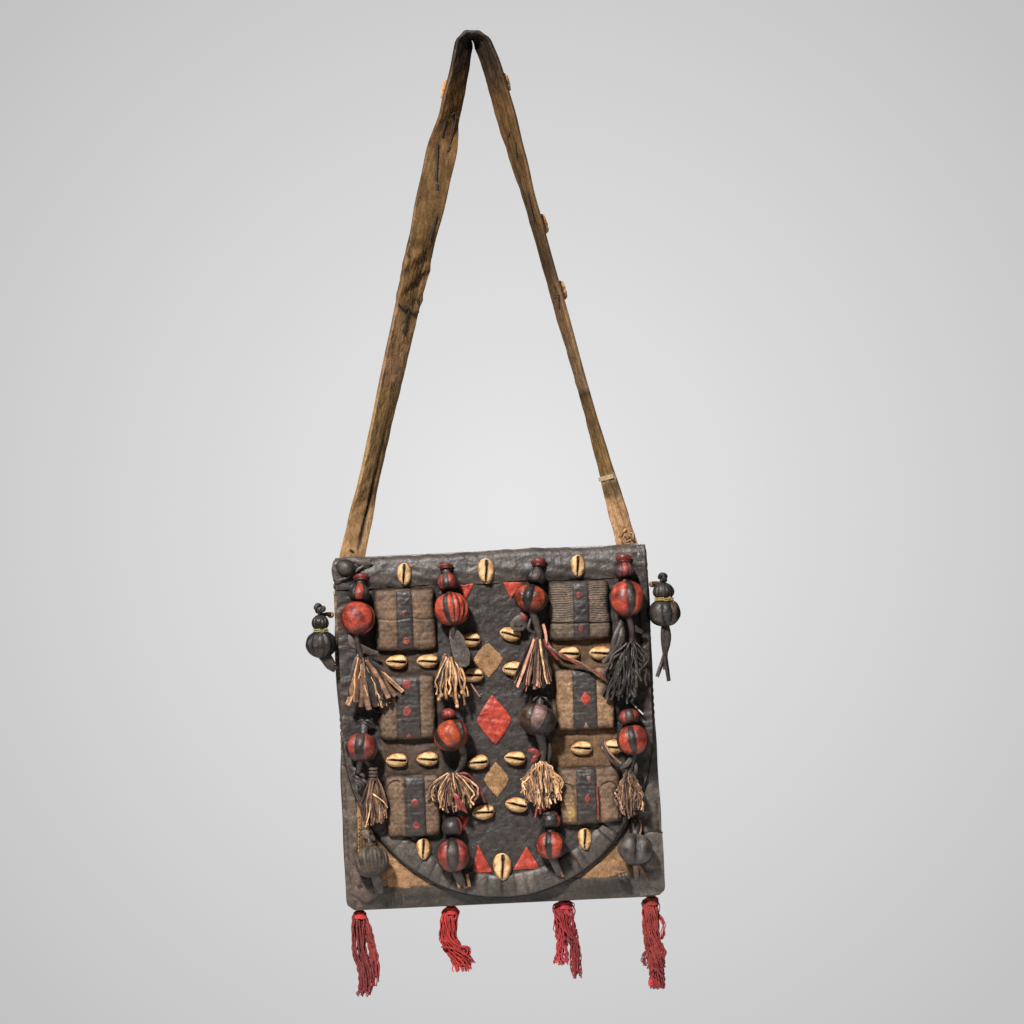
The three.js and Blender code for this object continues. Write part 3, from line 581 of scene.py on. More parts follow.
def sew_pouch(skin):
    """Stitches along the side and bottom seams, round the back panel and over the strap's tabs."""
    for side in (-1, 1):
        down = np.linspace(-12, -HEIGHT + 10, 40)
        for y, tint, spacing in ((FACE + 10, STRIP_DARK, 6.5), (BACK - 5.5, TAN_DARK, 7.5)):
            flare = 1.6 * smooth(-down, 120, HEIGHT)
            path = np.stack([side * (HALF - 0.7 + flare), np.full(40, y), down], 1)
            stitches(skin, path, (side, 0, 0), spacing, 4.4, 0.4, tint, 0.35)
    run = np.linspace(-HALF + 10, HALF - 10, 40)
    for y in (FACE + 12, BACK - 7):
        path = np.stack([run, np.full(40, y), np.full(40, -HEIGHT + 0.2)], 1)
        stitches(skin, path, (0, 0, -1), 7.0, 4.6, 0.4, STRIP_DARK)
    edge = HALF - 13
    seams = [[(-edge, -50), (-edge, -HEIGHT + 16), (edge, -HEIGHT + 16), (edge, -50)]]
    seams += [[(s * 109, -5), (s * 109, -43), (s * 128, -43)] for s in (-1, 1)]
    for corners in seams:
        for (x0, z0), (x1, z1) in zip(corners, corners[1:]):
            t = np.linspace(0, 1, 2 + int(math.hypot(x1 - x0, z1 - z0) / 4))
            px, pz = x0 + (x1 - x0) * t, z0 + (z1 - z0) * t
            stitches(skin, np.stack([px, back_panel(px, pz), pz], 1), (0, 1, 0), 6.4, 4.2, 0.7, TAN, 0.2)


def make_front_trim():
    """Dark borders, patch and stitches on the front panel, seen beside the flap's curve."""
    skin = Skin()

    def raised(lift):
        return lambda x, z: front_panel(x, z) - lift

    left = [(-150, -137.8, -127.5), (-220, -138.6, -126.5), (-270, -139, -127.4), (-298, -139.2, -126.4),
            (-304, -136.6, -126)]
    skin.add(patch(left, front_panel, 1.0, 110, 13, 0.5, 31), lin(94, 78, 64), IN_SMOOTH)
    right = [(-150, 121, 138), (-205, 116, 138.6), (-212, 114, 138.8), (-297, 110, 139.3),
             (-305, 110, 135.5)]
    skin.add(patch(right, front_panel, 1.2, 110, 25, 0.8, 32), lin(92, 84, 77), IN_SMOOTH)
    for inner, outer in ((-127.8, -134.5), (121.5, 134.5)):
        hidden = [(-8, min(inner, outer), max(inner, outer)), (-152, min(inner, outer), max(inner, outer))]
        skin.add(patch(hidden, front_panel, 0.45, 60, 9), BLACK_WORN, IN_SMOOTH)
    corner = [(-249.5, 123, 137), (-251.5, 119.5, 139.8), (-270, 118, 140.2), (-290, 118.4, 140),
              (-298, 118, 140), (-302.5, 117.5, 138.6), (-305.4, 118.5, 134.5)]
    skin.add(patch(corner, raised(0.9), 2.2, 60, 25, 0.6, 38, 1.6), lin(110, 100, 90), IN_SMOOTH)
    # Near-black strip along the top of the corner piece: painted shadow under its fold.
    fold = ((117, -249.6), (124, -250.4), (132, -250.0), (140, -250.8))
    path = [(x, float(front_panel(x, z)) - 1.6, z) for x, z in fold]
    skin.add(sweep(spline(path, 20), 2.0, 1.8), BLACK * 0.3, IN_SMOOTH)
    bottom = [(-287.4, -127, 119), (-296, -132, 120), (-304, -136.4, 130), (-306.6, -133, 130)]
    skin.add(patch(bottom, front_panel, 1.3, 20, 150, 0.5, 33), lin(72, 64, 55), IN_DRY)
    strip = [(-219, -126.4, -122.4), (-245, -127.4, -123.2), (-274, -128.6, -123.4)]
    skin.add(patch(strip, front_panel, 1.1, 50, 9, 0.4, 34), TAN * 0.8, IN_DRY)
    path = [(-124.6 - 1.6 * k, float(front_panel(-125, z)) - 1.4, z)
            for k, z in enumerate((-222, -250, -273))]
    stitches(skin, spline(path, 20), FRONT, 3.4, 2.2, 0.5, OCHRE)
    square = [(-272.4, -131.5, -113), (-282, -134.8, -110.6), (-290.5, -135.6, -108.8), (-296, -128, -114),
              (-299.4, -124.5, -120.5)]
    skin.add(patch(square, raised(1.1), 1.6, 30, 21, 0.45, 35, 1.6), lin(102, 84, 74), IN_DRY)
    # Dark disc on the square patch: painted shade standing in for its hole.
    skin.add(patch(disc(-126.6, -285.2, 2.6, 2.3), raised(2.5), 0.5), lin(60, 32, 30), IN_DRY)
    for x, z in ((132.6, -175.5), (122.7, -194.6)):
        sprig = [(z + 7, x - 0.3, x + 0.3), (z + 3, x - 2.0, x + 2.2), (z - 2, x - 2.2, x + 2.0),
                 (z - 7, x - 0.3, x + 0.3)]
        skin.add(patch(sprig, raised(1.7), 1.2, 14, 7, 0, 0, 1.4), TAN, IN_DRY)
    for x in (-99, -89.5):
        path = [(x + 0.5 * (k % 2), float(front_panel(x, z)) - 1.4, z)
                for k, z in enumerate((-290, -294, -299, -304))]
        skin.add(sweep(spline(path, 10), 1.3, 0.9), TAN_DARK, IN_YARN)
    for edges, seed in (([(-262, -103, -92), (-276, -103, -78), (-290, -102, -62)], 36),
                        ([(-258, 103, 106), (-272, 86, 112), (-288, 66, 116)], 37)):
        skin.add(patch(edges, front_panel, 0.5, 40, 30, 0.45, seed), TAN, IN_DRY)
    seam = [(-30, -138.1, -135.8), (-60, -138.1, -135.2), (-105, -138.1, -135.8)]
    skin.add(patch(seam, front_panel, 0.6, 80, 7, 0.5, 39), lin(136, 112, 82), IN_DRY)
    return skin.build("front_trim", "bag", "black_leather", LEATHERS)


STRAP_FOOT = 122.0
STRAP_Y = 10.1
STRAP_THICK = 4.0
HANG = np.array([5.0, 0.0, 455.0])
SHOULDERS = {-1: (-8, -17), 1: (15, -17)}
BEND = [(-6.5, -7), (-3, 0.4), (1, 2), (6, -0.6), (10.5, -7.5)]
# Share of the way up, turn of the face in degrees, width
RUNS = {
    -1: [(0.05, 6, 20), (0.14, 54, 25), (0.24, 54, 26), (0.42, 46, 26), (0.6, 42, 26), (0.7, 22, 26),
         (0.8, 12, 26), (0.89, 54, 26), (0.97, 54, 24)],
    1: [(0.05, 8, 16), (0.1, 34, 16), (0.18, 58, 18), (0.28, 73, 22), (0.48, 73, 25), (0.7, 73, 26),
        (0.8, 62, 26), (0.9, 56, 26), (0.98, 56, 24)],
}
# Height, then display colour, from the foot up; HANDLED darkens them all
STRAP_TINTS = {
    -1: [(0, 190, 146, 102), (40, 188, 146, 100), (90, 196, 156, 108), (150, 190, 150, 102),
         (151.5, 140, 110, 78), (153, 194, 150, 112), (205, 180, 140, 100), (224, 160, 122, 82),
         (226, 88, 66, 42), (229, 150, 114, 74), (268, 148, 112, 70), (274, 110, 82, 48),
         (282, 134, 101, 62), (385, 128, 93, 53), (408, 118, 84, 46), (424, 80, 56, 34), (436, 60, 42, 28),
         (460, 50, 36, 26)],
    1: [(0, 206, 162, 122), (44, 196, 152, 110), (46, 128, 100, 68), (58, 112, 88, 58),
        (60, 196, 166, 134), (64, 190, 160, 126), (66, 150, 116, 74), (130, 140, 108, 68),
        (137, 88, 66, 42), (139, 156, 124, 92), (230, 136, 104, 72), (250, 96, 72, 46), (330, 124, 92, 56),
        (395, 116, 84, 50), (412, 90, 64, 40), (428, 62, 46, 32), (460, 52, 38, 28)],
}
HANDLED = np.array([0.86, 0.83, 0.75])


def run_point(side, share):
    """Point of the strap's straight run, as a share of the way up from its foot."""
    foot = np.array([side * STRAP_FOOT, STRAP_Y, 0.0])
    x, z = SHOULDERS[side]
    return foot + (HANG + np.array([x, 0, z]) - foot) * share


def strap_stations():
    """Place, turn and width along the strap, from the left end over the hang point to the right end."""
    left = [(np.array([-STRAP_FOOT, STRAP_Y, z]), 0, 21) for z in (-STRAP_TAB, 0)]
    left += [(run_point(-1, s), turn, width) for s, turn, width in RUNS[-1]]
    over = [(HANG + np.array([x, 0, z]), turn, 24) for (x, z), turn in zip(BEND, (56, 72, 84, 72, 56))]
    right = [(run_point(1, s), turn, width) for s, turn, width in RUNS[1]][::-1]
    right += [(np.array([STRAP_FOOT, STRAP_Y, z]), 0, 18) for z in (0, -STRAP_TAB)]
    return left + over + right


def strap_axes(heading, turn):
    """Directions across the strap and out of its outer face."""
    inward = unit(np.array([heading[2], 0, -heading[0]]))
    depth = np.array([0.0, 1.0, 0.0])
    c, s = math.cos(math.radians(turn)), math.sin(math.radians(turn))
    return inward * c + depth * s, depth * c - inward * s


def strap_slim(z):
    """Share of the strap's thickness left at its sewn foot, where the raised flap's band comes near it."""
    return 1 - 0.45 * float(smooth(-z, -28, -10))


def strap_tint(side, z):
    """Dark with handling at the top, paler down to the foot, darker at each lapped join."""
    heights, *display = np.array(STRAP_TINTS[side], float).T
    return HANDLED * np.array([np.interp(z, heights, tint) for tint in lin(*display)])


def strap_line():
    """Places, turns and widths close together along the strap, its bends softened but its sewn ends kept."""
    stations, steps = strap_stations(), 14
    places, turns, widths = [], [], []
    for i in range((len(stations) - 1) * steps + 1):
        k = min(i // steps, len(stations) - 2)
        t = i / steps - k
        (at, turn, width), (next_at, next_turn, next_width) = stations[k:k + 2]
        ease = t * t * (3 - 2 * t)
        places.append(at + (next_at - at) * t)
        turns.append(turn + (next_turn - turn) * ease)
        widths.append(width + (next_width - width) * ease)
    places = np.array(places)
    kernel = np.array([1, 2, 3, 4, 3, 2, 1]) / 16
    soft = places
    for _ in range(3):
        padded = [np.pad(soft[:, k], 3, mode="edge") for k in range(3)]
        soft = np.stack([np.convolve(p, kernel, "valid") for p in padded], 1)
        soft[:steps], soft[-steps:] = places[:steps], places[-steps:]
    return soft, turns, widths


def strap_section(side, z, width):
    """Section of the strap as (across, out) points, and a shade for each: cupped, creased and frayed."""
    near_count = 25
    left, right = side < 0, side > 0
    face = np.linspace(-0.5, 0.5, near_count)
    worn = math.exp(-((z - 250) / 24) ** 4) * left
    opened = float(smooth(-z, -150, -60) * smooth(z, 4, 16)) * left
    lap = float(smooth(z, 226, 228.5) * smooth(-z, -284, -270)) * left
    along = xz(side * 30.0, z)
    w = width * (1 + 0.03 * float(wobble(along, 38, 41)) + 0.05 * lap)
    w = w + 0.8 * worn * float(wobble(along, 9, 46))
    groove = np.exp(-((face - (0.2 if left else -0.18)) / (0.04 + 0.035 * opened)) ** 2)
    second = np.exp(-((face - (0.38 if left else 0.2)) / 0.03) ** 2)
    deep = 0.1 + 2.9 * opened if left else 0.9
    cup = 0.9 * (1 - (2 * face) ** 2) - deep * groove - 0.4 * second * right
    grain = np.stack([face * 30, 0 * face, 0 * face + z], 1)
    cup = cup + (0.35 + 1.3 * worn) * wobble(grain, 14, 42) + (0.15 + 0.8 * worn) * wobble(grain, 5, 43)
    slim = strap_slim(z)
    t = slim * STRAP_THICK / 2 + 0.7 * lap
    near = np.stack([face * w, -t + 0.5 - slim * cup * 0.7], 1)
    far = np.stack([face[::-2] * w, np.full(13, t - 0.2)], 1)
    rims = [[(s * (w / 2 + 0.6), -s * t * 0.3), (s * (w / 2 + 0.6), s * t * 0.3)] for s in (1, -1)]
    section = np.concatenate([near, rims[0], far, rims[1]])
    shade = np.full(len(section), 0.7)
    shade[:near_count] = 1 - (0.05 + 0.85 * opened if left else 0.45) * groove - 0.35 * second * right
    shade[:near_count] *= 1 - 0.65 * worn * smooth(wobble(grain, 7, 44), 0.4, 1.1)
    return section, shade


def on_strap(side, share, across_share, lift):
    """Point on the strap's outer face and the direction out of it."""
    table = np.array(RUNS[side], float)
    turn, width = (np.interp(share, table[:, 0], table[:, k]) for k in (1, 2))
    across, outward = strap_axes((run_point(side, 1) - run_point(side, 0)) * -side, turn)
    at = run_point(side, share)
    lift = lift + strap_slim(at[2]) * STRAP_THICK / 2
    return at + across * across_share * width - outward * lift, -outward


# Threads sewn in the strap: side, thickness, marks as (share of the way up, share across)
STRAP_THREADS = [
    (-1, 1.5, [(0.875, -0.2), (0.84, -0.16)]),
    (-1, 1.3, [(0.885, -0.05), (0.89, 0.12), (0.875, 0.22), (0.83, 0.2)]),
    (-1, 2.2, [(0.825, 0.22), (0.815, 0.19)]), (-1, 1.4, [(0.825, -0.24), (0.755, 0.02)]),
    (-1, 2.4, [(0.748, 0.08), (0.738, 0.11)]), (-1, 1.3, [(0.69, 0.3), (0.64, 0.26)]),
    (-1, 1.6, [(0.505, -0.5), (0.497, -0.25), (0.502, -0.02), (0.494, 0.2), (0.5, 0.48)]),
    (-1, 2.0, [(0.498, 0.04), (0.478, -0.02), (0.466, 0.06), (0.452, 0.0)]),
    (-1, 3.0, [(0.606, 0.12), (0.588, 0.16)]), (-1, 1.3, [(0.525, 0.3), (0.51, 0.44)]),
    (-1, 1.5, [(0.602, -0.5), (0.582, -0.36)]), (-1, 1.6, [(0.02, -0.18), (0.018, 0.0)]),
    (1, 1.2, [(0.82, -0.3), (0.79, -0.1)]), (1, 1.6, [(0.845, -0.12), (0.838, 0.04)]),
    (1, 1.2, [(0.76, 0.1), (0.70, 0.22)]), (1, 1.2, [(0.72, -0.3), (0.66, -0.12)]),
]


def sew_strap(skin):
    """Thread stitches, the fibre knot at the right foot, a pale bar and two cut thread ends."""
    for side, thick, marks in STRAP_THREADS:
        points = [on_strap(side, s, a, 0.7) for s, a in marks]
        thread = sweep(spline([p for p, _ in points], 10), thick, 1.2, points[0][1], sides=6)
        skin.add(thread, THREAD_DARK, IN_YARN)
    rng = np.random.default_rng(45)
    for _ in range(16):
        at, out = on_strap(1, rng.uniform(0.009, 0.034), rng.uniform(-0.5, 0.5), -0.5)
        lean = unit(np.array([rng.uniform(-1, 1), 0, rng.uniform(0.2, 1)]))
        arch = np.array([0, 0.5, 0.6, 0.5, 0])[:, None] * out
        tint = (OCHRE, STRIP_TAN, TAN_DARK)[rng.integers(3)]
        fibre = at + np.linspace(-2.4, 2.4, 5)[:, None] * lean + arch
        skin.add(sweep(fibre, 1.6, 1.4, out, sides=6), tint, IN_YARN)
    bar = [on_strap(1, 0.143, a, 0.5)[0] for a in np.linspace(-0.53, 0.53, 6)]
    skin.add(sweep(bar, 4.2, 1.0, on_strap(1, 0.143, 0, 0)[1], 8, 3), lin(196, 166, 134), IN_STRAP)
    stub, _ = on_strap(1, 0.505, -0.5, 0)
    for lift in (0, 2.2):
        path = [stub + [0, 0, lift], stub + [-3, -1, lift + 0.4], stub + [-6, -1, lift]]
        skin.add(sweep(spline(path, 8), 1.5, 1.2, sides=6), THREAD_DARK, IN_YARN)


def make_strap():
    """One long folded leather band, creased along its length, with a torn lapped join and stitches."""
    places, turns, widths = strap_line()
    rings, tints = [], []
    for i, heading in enumerate(np.gradient(places, axis=0)):
        side, z = (-1 if i < len(places) / 2 else 1), places[i, 2]
        across, outward = strap_axes(heading, turns[i])
        section, shade = strap_section(side, z, widths[i])
        rings.append(places[i] + section[:, :1] * across + section[:, 1:] * outward)
        tints.append(strap_tint(side, z) * shade[:, None])
    skin = Skin().add(loft(np.array(rings)), np.concatenate(tints), IN_STRAP)
    sew_strap(skin)
    return skin.build("strap", "bag", "tan_leather", LEATHERS, ["shoulder_strap"])


COWRIE_LENGTH = 20.0
COWRIE_WIDTH = 13.5
COWRIE_HEIGHT = 7.0


def cowrie_mesh(seed):
    """Cowrie on y = 0 with its toothed slit towards -Y and its length along z."""
    rng = np.random.default_rng(seed)
    rows, cols = 52, 41
    s = np.sin(np.linspace(-np.pi / 2 + 0.09, np.pi / 2 - 0.09, rows))[:, None]
    t = np.linspace(-1, 1, cols)
    q = np.sign(t) * np.abs(t) ** 1.25
    half = COWRIE_WIDTH / 2 * np.sqrt(1 - s * s) ** 0.95 * (1 + 0.13 * s)
    outline = np.stack([0 * s + np.sign(q) * 9, 0 * s * q, s * 10 + 0 * q], -1)
    half = half * (1 + 0.035 * wobble(outline, 14, seed))
    x, z = q * half + 0.4 * rng.uniform(-1, 1) * s * s, s * COWRIE_LENGTH / 2 + 0 * q
    middle = 0.7 * np.sin(2.3 * s + rng.uniform(-0.4, 0.4)) + 0.3 * rng.uniform(-1, 1)
    off = np.abs(x - middle)
    room = smooth(-np.abs(s), -0.96, -0.8)
    gape = 0.5 + 0.35 * s + 0.3 * (1 - s * s) + 0.12 * wobble(xz(0 * s, s * 10), 4, seed + 3)
    teeth = np.cos(2 * np.pi * z / 1.7 + rng.uniform(0, 6))
    groove = np.exp(-(off / (gape + 0.26 * teeth)) ** 4) * room
    swell = COWRIE_HEIGHT * 0.94 * (1 - np.abs(q) ** 3.2) ** 0.6 * (1 - s ** 6) ** 0.5
    notches = teeth * np.exp(-((off - gape - 0.7) / 0.7) ** 2) * room
    lips = np.exp(-((off - gape - 1.0) / 1.0) ** 2) * room
    rough = 0.2 * wobble(np.stack([x, 0 * x, z], -1), 4, seed + 1)
    y = -np.maximum(swell + 0.3 * lips + 0.42 * notches + rough - 3.4 * groove, 0)
    front = np.stack([x, y, z], -1)
    tint = mix(SHELL_CREAM, SHELL_ORANGE, smooth(np.abs(q) + 0.3 * wobble(front, 7, seed + 4), 0.45, 1.0))
    tint = mix(tint, SHELL_EDGE, smooth(np.abs(q) + 0.1 * wobble(front, 6, seed + 2), 0.84, 1.05))
    # The lips darken into the slit, and the slit and the gaps between its teeth turn near black: painted
    # shade in the opening.
    tint = mix(tint, SHELL_EDGE, 0.5 * np.exp(-((off - gape) / 1.0) ** 2) * room)
    tint = mix(tint, SHELL_SLIT_SHADE, np.clip(groove * 1.6 + 0.6 * np.maximum(-notches, 0), 0, 1))
    return Skin().add(dome(front), tint.reshape(-1, 3)).mesh(f"cowrie_{seed}", [SHELL], local=True)


# Cowries on the flap: x, drop below the top edge, turn in degrees, size
FLAP_COWRIES = {
    "cowrie_band_left": (-75, 14, 0, 1), "cowrie_band_middle": (-3.5, 14.5, 0, 1.12),
    "cowrie_band_right": (77, 14, 0, 1), "cowrie_left_1": (-85.5, 90.25, 90, 0.95),
    "cowrie_left_2": (-58.5, 90.75, 90, 0.95), "cowrie_left_3": (-89.5, 176.25, 90, 0.95),
    "cowrie_left_4": (-62.5, 176.25, 90, 0.95), "cowrie_left_5": (-69.5, 254.5, 0, 0.95),
    "cowrie_right_1": (65.5, 90.25, 90, 0.95), "cowrie_right_2": (92.5, 90.75, 90, 0.95),
    "cowrie_right_3": (72.5, 173.25, 90, 0.95), "cowrie_right_4": (99.5, 173.25, 90, 0.95),
    "cowrie_right_5": (72, 252.5, 0, 0.95), "cowrie_middle_1": (-20.5, 74, 90, 0.95),
    "cowrie_middle_2": (15, 70.5, 102, 0.95), "cowrie_middle_3": (-19.5, 105, 90, 0.95),
    "cowrie_middle_4": (16, 101, 90, 0.95), "cowrie_middle_5": (-18.5, 181.5, 82, 0.95),
    "cowrie_middle_6": (14, 179.5, 95, 0.95), "cowrie_middle_7": (-16, 225, 84, 1),
    "cowrie_middle_8": (13.5, 220, 100, 1), "cowrie_bottom": (-1.5, 273.5, 0, 1.2),
}
# Cowries on the strap: side, share of the way up, shift across the strap
STRAP_COWRIES = [(-1, 0.93, 5.0), (1, 0.94, 4.0), (1, 0.655, 0.0), (1, 0.52, 0.0)]


def make_cowries():
    """Five shells, used in turn on the flap and on the strap."""
    meshes = [cowrie_mesh(seed) for seed in (401, 404, 407, 410, 413)]

    def add(name, at, basis, size, body, mesh):
        piece = bpy.data.objects.new("shell_" + name, mesh)
        place = basis.to_4x4() @ Matrix.Diagonal((size, 1, size, 1))
        place.translation = Vector((at + BAG_ORIGIN) / 1000)
        piece.matrix_world = place
        settle(piece, body, [name])

    for k, (name, (x, drop, turn, size)) in enumerate(FLAP_COWRIES.items()):
        at = np.array([x, FLAP_FACE - GAP, -drop])
        add(name, at, Matrix.Rotation(math.radians(turn), 3, "Y"), size, "flap", meshes[k * 3 % 5])
    for i, (side, share, shift) in enumerate(STRAP_COWRIES):
        table = np.array(RUNS[side], float)
        k = int(np.searchsorted(table[:, 0], share))
        ease = float(smooth(share, table[k - 1, 0], table[k, 0]))
        turn = table[k - 1, 1] + (table[k, 1] - table[k - 1, 1]) * ease
        up = unit(run_point(side, 1) - run_point(side, 0))
        width_way, outward = strap_axes(up * -side, turn)
        across = unit(np.cross(-outward, up))
        basis = Matrix([Vector(across), Vector(-outward), Vector(np.cross(across, -outward))]).transposed()
        at = run_point(side, share) + outward * (STRAP_THICK / 2 + 0.6) - width_way * shift
        add(f"strap_cowrie_{i + 1}", at, basis, 0.95, "bag", meshes[i])


def flap_half(z):
    """Half width of the flap at a height."""
    down = np.clip((STRAIGHT - np.asarray(z, float)) / CURVE, 0, 1)
    return FLAP_HALF * np.sqrt(1 - down * down)


def flap_front(x, z):
    """y of the flap's face: soft waves, with creases across its dark side borders."""
    side = smooth(np.abs(x), 100, 112)
    at = xz(x, z)
    crease = 0.5 * side * np.sin(z / 1.9 + 3.0 * wobble(at, 40, 52)) * (0.5 + 0.5 * wobble(at, 30, 53))
    return FLAP_FACE + 0.3 * wobble(at, 46, 51) + crease + 0.2 * wobble(at, 10, 54)


def make_flap():
    """Flap of black leather, then what is sewn on it."""
    level = np.linspace(FLAP_TOP, STRAIGHT, 90)
    level = np.concatenate([level, STRAIGHT - CURVE * np.sin(np.radians(np.linspace(1, 89, 100)))])
    u = np.linspace(-1, 1, 111)
    z = np.broadcast_to(level[:, None], (len(level), len(u)))
    x = u * flap_half(level)[:, None]
    front = np.stack([x, flap_front(x, z), z], -1)
    back = np.stack([x, np.full_like(x, FLAP_BACK), z], -1)
    skin = Skin().add(slab(front, back), BLACK, IN_SMOOTH)
    base = skin.build("flap_leather", "flap", "black_leather", LEATHERS, ["flap_panel"])
    make_flap_trim()
    make_band()
    make_rim()
    make_wrap()


def make_flap_trim():
    """Columns under the packets, lozenges, red triangles, a twig, a quill and the right end's edging."""
    skin = Skin()
    left = [(-24, -102, -51), (-80, -102, -51), (-90, -102, -49), (-175, -102, -49), (-200, -99, -52),
            (-244, -97, -54)]
    skin.add(patch(left, flap_front, 0.8, 180, 27, 0.4, 61), COLUMN_LEFT, IN_DRY)
    right = [(-24, 51, 101), (-82, 51, 101), (-90, 46, 104), (-158, 51, 102), (-166, 46, 105),
             (-186, 46, 104), (-192, 52, 102), (-238, 54, 98)]
    skin.add(patch(right, flap_front, 0.8, 180, 27, 0.4, 62), COLUMN_RIGHT, IN_DRY)
    for x, z, w, h in ((-5.6, -91.8, 12.5, 15.4), (-3.1, -197, 10.6, 15)):
        skin.add(patch(lozenge(x, z, w + 0.8, h + 0.9), flap_front, 0.5, 37, 11), STRIP_DARK, IN_SMOOTH)
        skin.add(patch(lozenge(x, z, w, h), flap_front, 1.0, 37, 17, 0.2, 63), LOZENGE, IN_DRY)
    big = lozenge(-2.8, -144.9, 14.9, 21.3, 9, 0.6)
    skin.add(patch(big, flap_front, 1.5, 73, 25, 0.34, 64), RED, IN_PAINTED)
    reds = [
        ((-22.7, -38.6), (-29.6, -24.6), (-14.7, -24.6)), ((17, -39.5), (11, -25.2), (28.6, -25.2)),
        ((-22, -254), (-27.8, -277.6), (-10.4, -277.6)), ((20.4, -257.3), (7.5, -278.4), (31.3, -275)),
        ((31.5, -94), (25.5, -86.5), (32, -86.5)), ((-34, -240), (-36, -228), (-28.5, -228)),
    ]
    for k, corners in enumerate(reds):
        skin.add(patch(triangle(*corners), flap_front, 1.1, 30, 13, 0.28, 70 + k), RED, IN_PAINTED)
    twig = [(-21.5, -21.2, -112), (-18, -21.0, -118), (-14, -20.4, -124)]
    skin.add(sweep(spline(twig, 8), 1.5, 1.3, sides=6), STRIP_BROWN, IN_DRY)
    quill = [(117.4, -19.5, -134.6), (122, -22.5, -140), (127.6, -23.5, -146)]
    strand(skin, quill, 1.9, 1.5, QUILL, IN_DRY)
    edge = [(2.4, 129, 136.6), (-12, 127.6, 137.6), (-40, 128, 137.2), (-80, 129.4, 136.8),
            (-104, 131, 136)]
    edging = patch(edge, lambda x, z: FLAP_FACE + 4 * smooth(z, -8, 3), 2.2, 70, 13, 0.4, 65, 2.0)
    skin.add(edging, BLACK, IN_SMOOTH)
    return skin.build("flap_trim", "flap", "brown_leather", LEATHERS)


def make_band():
    """Rolled band over the bag's mouth, its lower edge folded under."""
    xs = np.linspace(-FLAP_HALF, FLAP_HALF, 200)
    arc = np.radians(np.linspace(180, 90, 11))
    rings = []
    for x in xs:
        here = np.array([x, 0.0, 0.0])
        rise = 0.8 * float(wobble(here, 70, 81)) + 0.3 * float(wobble(here, 16, 82))
        low = -25.0 + 0.7 * float(wobble(here, 50, 83))
        puff = 1.8 + 0.5 * float(wobble(here, 34, 84))
        front_z = np.linspace(low, -7, 19)
        bulge = 0.9 + puff * np.sin(np.linspace(0.15, 2.9, 19))
        slant = np.stack([0.5 * x + 0.6 * front_z, 0 * front_z, front_z - 0.3 * x], 1)
        bulge = bulge + 0.45 * wobble(slant, 13, 85) + 0.12 * wobble(slant, 5, 86)
        outer = [(FLAP_FACE - b, z) for b, z in zip(bulge, front_z)]
        outer += [(FLAP_FACE + 8 + (8 + 0.3 * puff) * math.cos(a), -5 + rise + 8 * math.sin(a))
                  for a in arc]
        rear = 11.4 - 5.8 * float(smooth(abs(x), 100, 103))
        outer += [(FLAP_FACE + 8 + (rear - FLAP_FACE - 8) * t, 3 + rise * (1 - t))
                  for t in (0.3, 0.6, 0.95)]
        inner = [(rear, 1.2), (rear - 0.2, 0.2)]
        inner += [(FLAP_FACE + 8 + 5 * math.cos(a), -5 + 5 * math.sin(a)) for a in arc[::-1]]
        inner += [(FLAP_BACK, low * 0.5), (FLAP_BACK, low), (FLAP_FACE + 1.2, low - 0.5)]
        rings.append([(x, y, z) for y, z in outer + inner])
    skin = Skin().add(loft(np.array(rings)), BLACK_WORN, IN_SMOOTH)
    return skin.build("flap_band", "flap", "black_leather", LEATHERS, ["top_band"])


def make_rim():
    """Soft binding along the flap's curve, fullest at the bottom, pleated, with painted shade in its pleats
    and a dark turned edge that also stands for painted shadow under it.
    """
    count = 420
    angle = np.radians(np.linspace(181, 359, count))

    def curve(inset, y):
        return np.stack([(FLAP_HALF - inset) * np.cos(angle), np.full(count, y),
                         STRAIGHT + (CURVE - inset) * np.sin(angle)], 1)

    path = curve(RIM / 2, FLAP_FACE + 1.4)
    full = smooth(-np.sin(angle), 0.4, 0.75)
    flat = path * [1, 0, 1]
    run = np.concatenate([[0], np.cumsum(np.linalg.norm(np.diff(path, axis=0), axis=1))])
    pleat = np.abs(np.sin(run * math.pi / 13 + 1.6 * wobble(flat, 40, 91))) ** 0.5
    thick = 3.4 + full * (2.8 + 3.2 * pleat + 0.8 * wobble(flat, 30, 92)) + 0.3 * wobble(flat, 6, 96)
    width = 20.4 + 0.6 * wobble(path, 45, 93)
    # Painted shade in the pleats' valleys where the rim is full, times some random tone.
    painted_shade_and_mottle = 1 - 0.72 * full * (1 - pleat) ** 2 - 0.2 * wobble(flat, 24, 98)
    tints = np.repeat(lin(82, 73, 65) * painted_shade_and_mottle[:, None], 32, axis=0)
    skin = Skin().add(sweep(path, width, thick, FRONT, 32, 2.6), tints, IN_SMOOTH)
    # Near-black strip along the flap's edge: the turned-under edge, and painted shadow below it.
    edge_and_shadow = 2.0 + 1.6 * full + 0.4 * wobble(flat, 16, 97)
    skin.add(sweep(curve(0.0, FLAP_FACE + 1.2), edge_and_shadow, 2.2, FRONT, 10), BLACK * 0.22, IN_DRY)
    torn = [(-276.5, -44, -27), (-283, -43.6, -26), (-291, -40, -25)]
    skin.add(patch(torn, lambda x, z: FLAP_FACE - 2.4 + 0 * x, 1.4, 24, 15, 0.5, 94), BLACK, IN_SMOOTH)
    for k, x in enumerate((-41.5, -36)):
        flake = [(-280, x, x + 3), (-286, x - 0.6, x + 4.4), (-290.5, x + 0.4, x + 3)]
        shape = patch(flake, lambda a, b: FLAP_FACE - 3.6 + 0 * a, 0.9, 12, 7, 0.3, 95 + k)
        skin.add(shape, STRIP_BROWN, IN_DRY)
    return skin.build("flap_rim_binding", "flap", "black_leather", LEATHERS, ["flap_rim"])


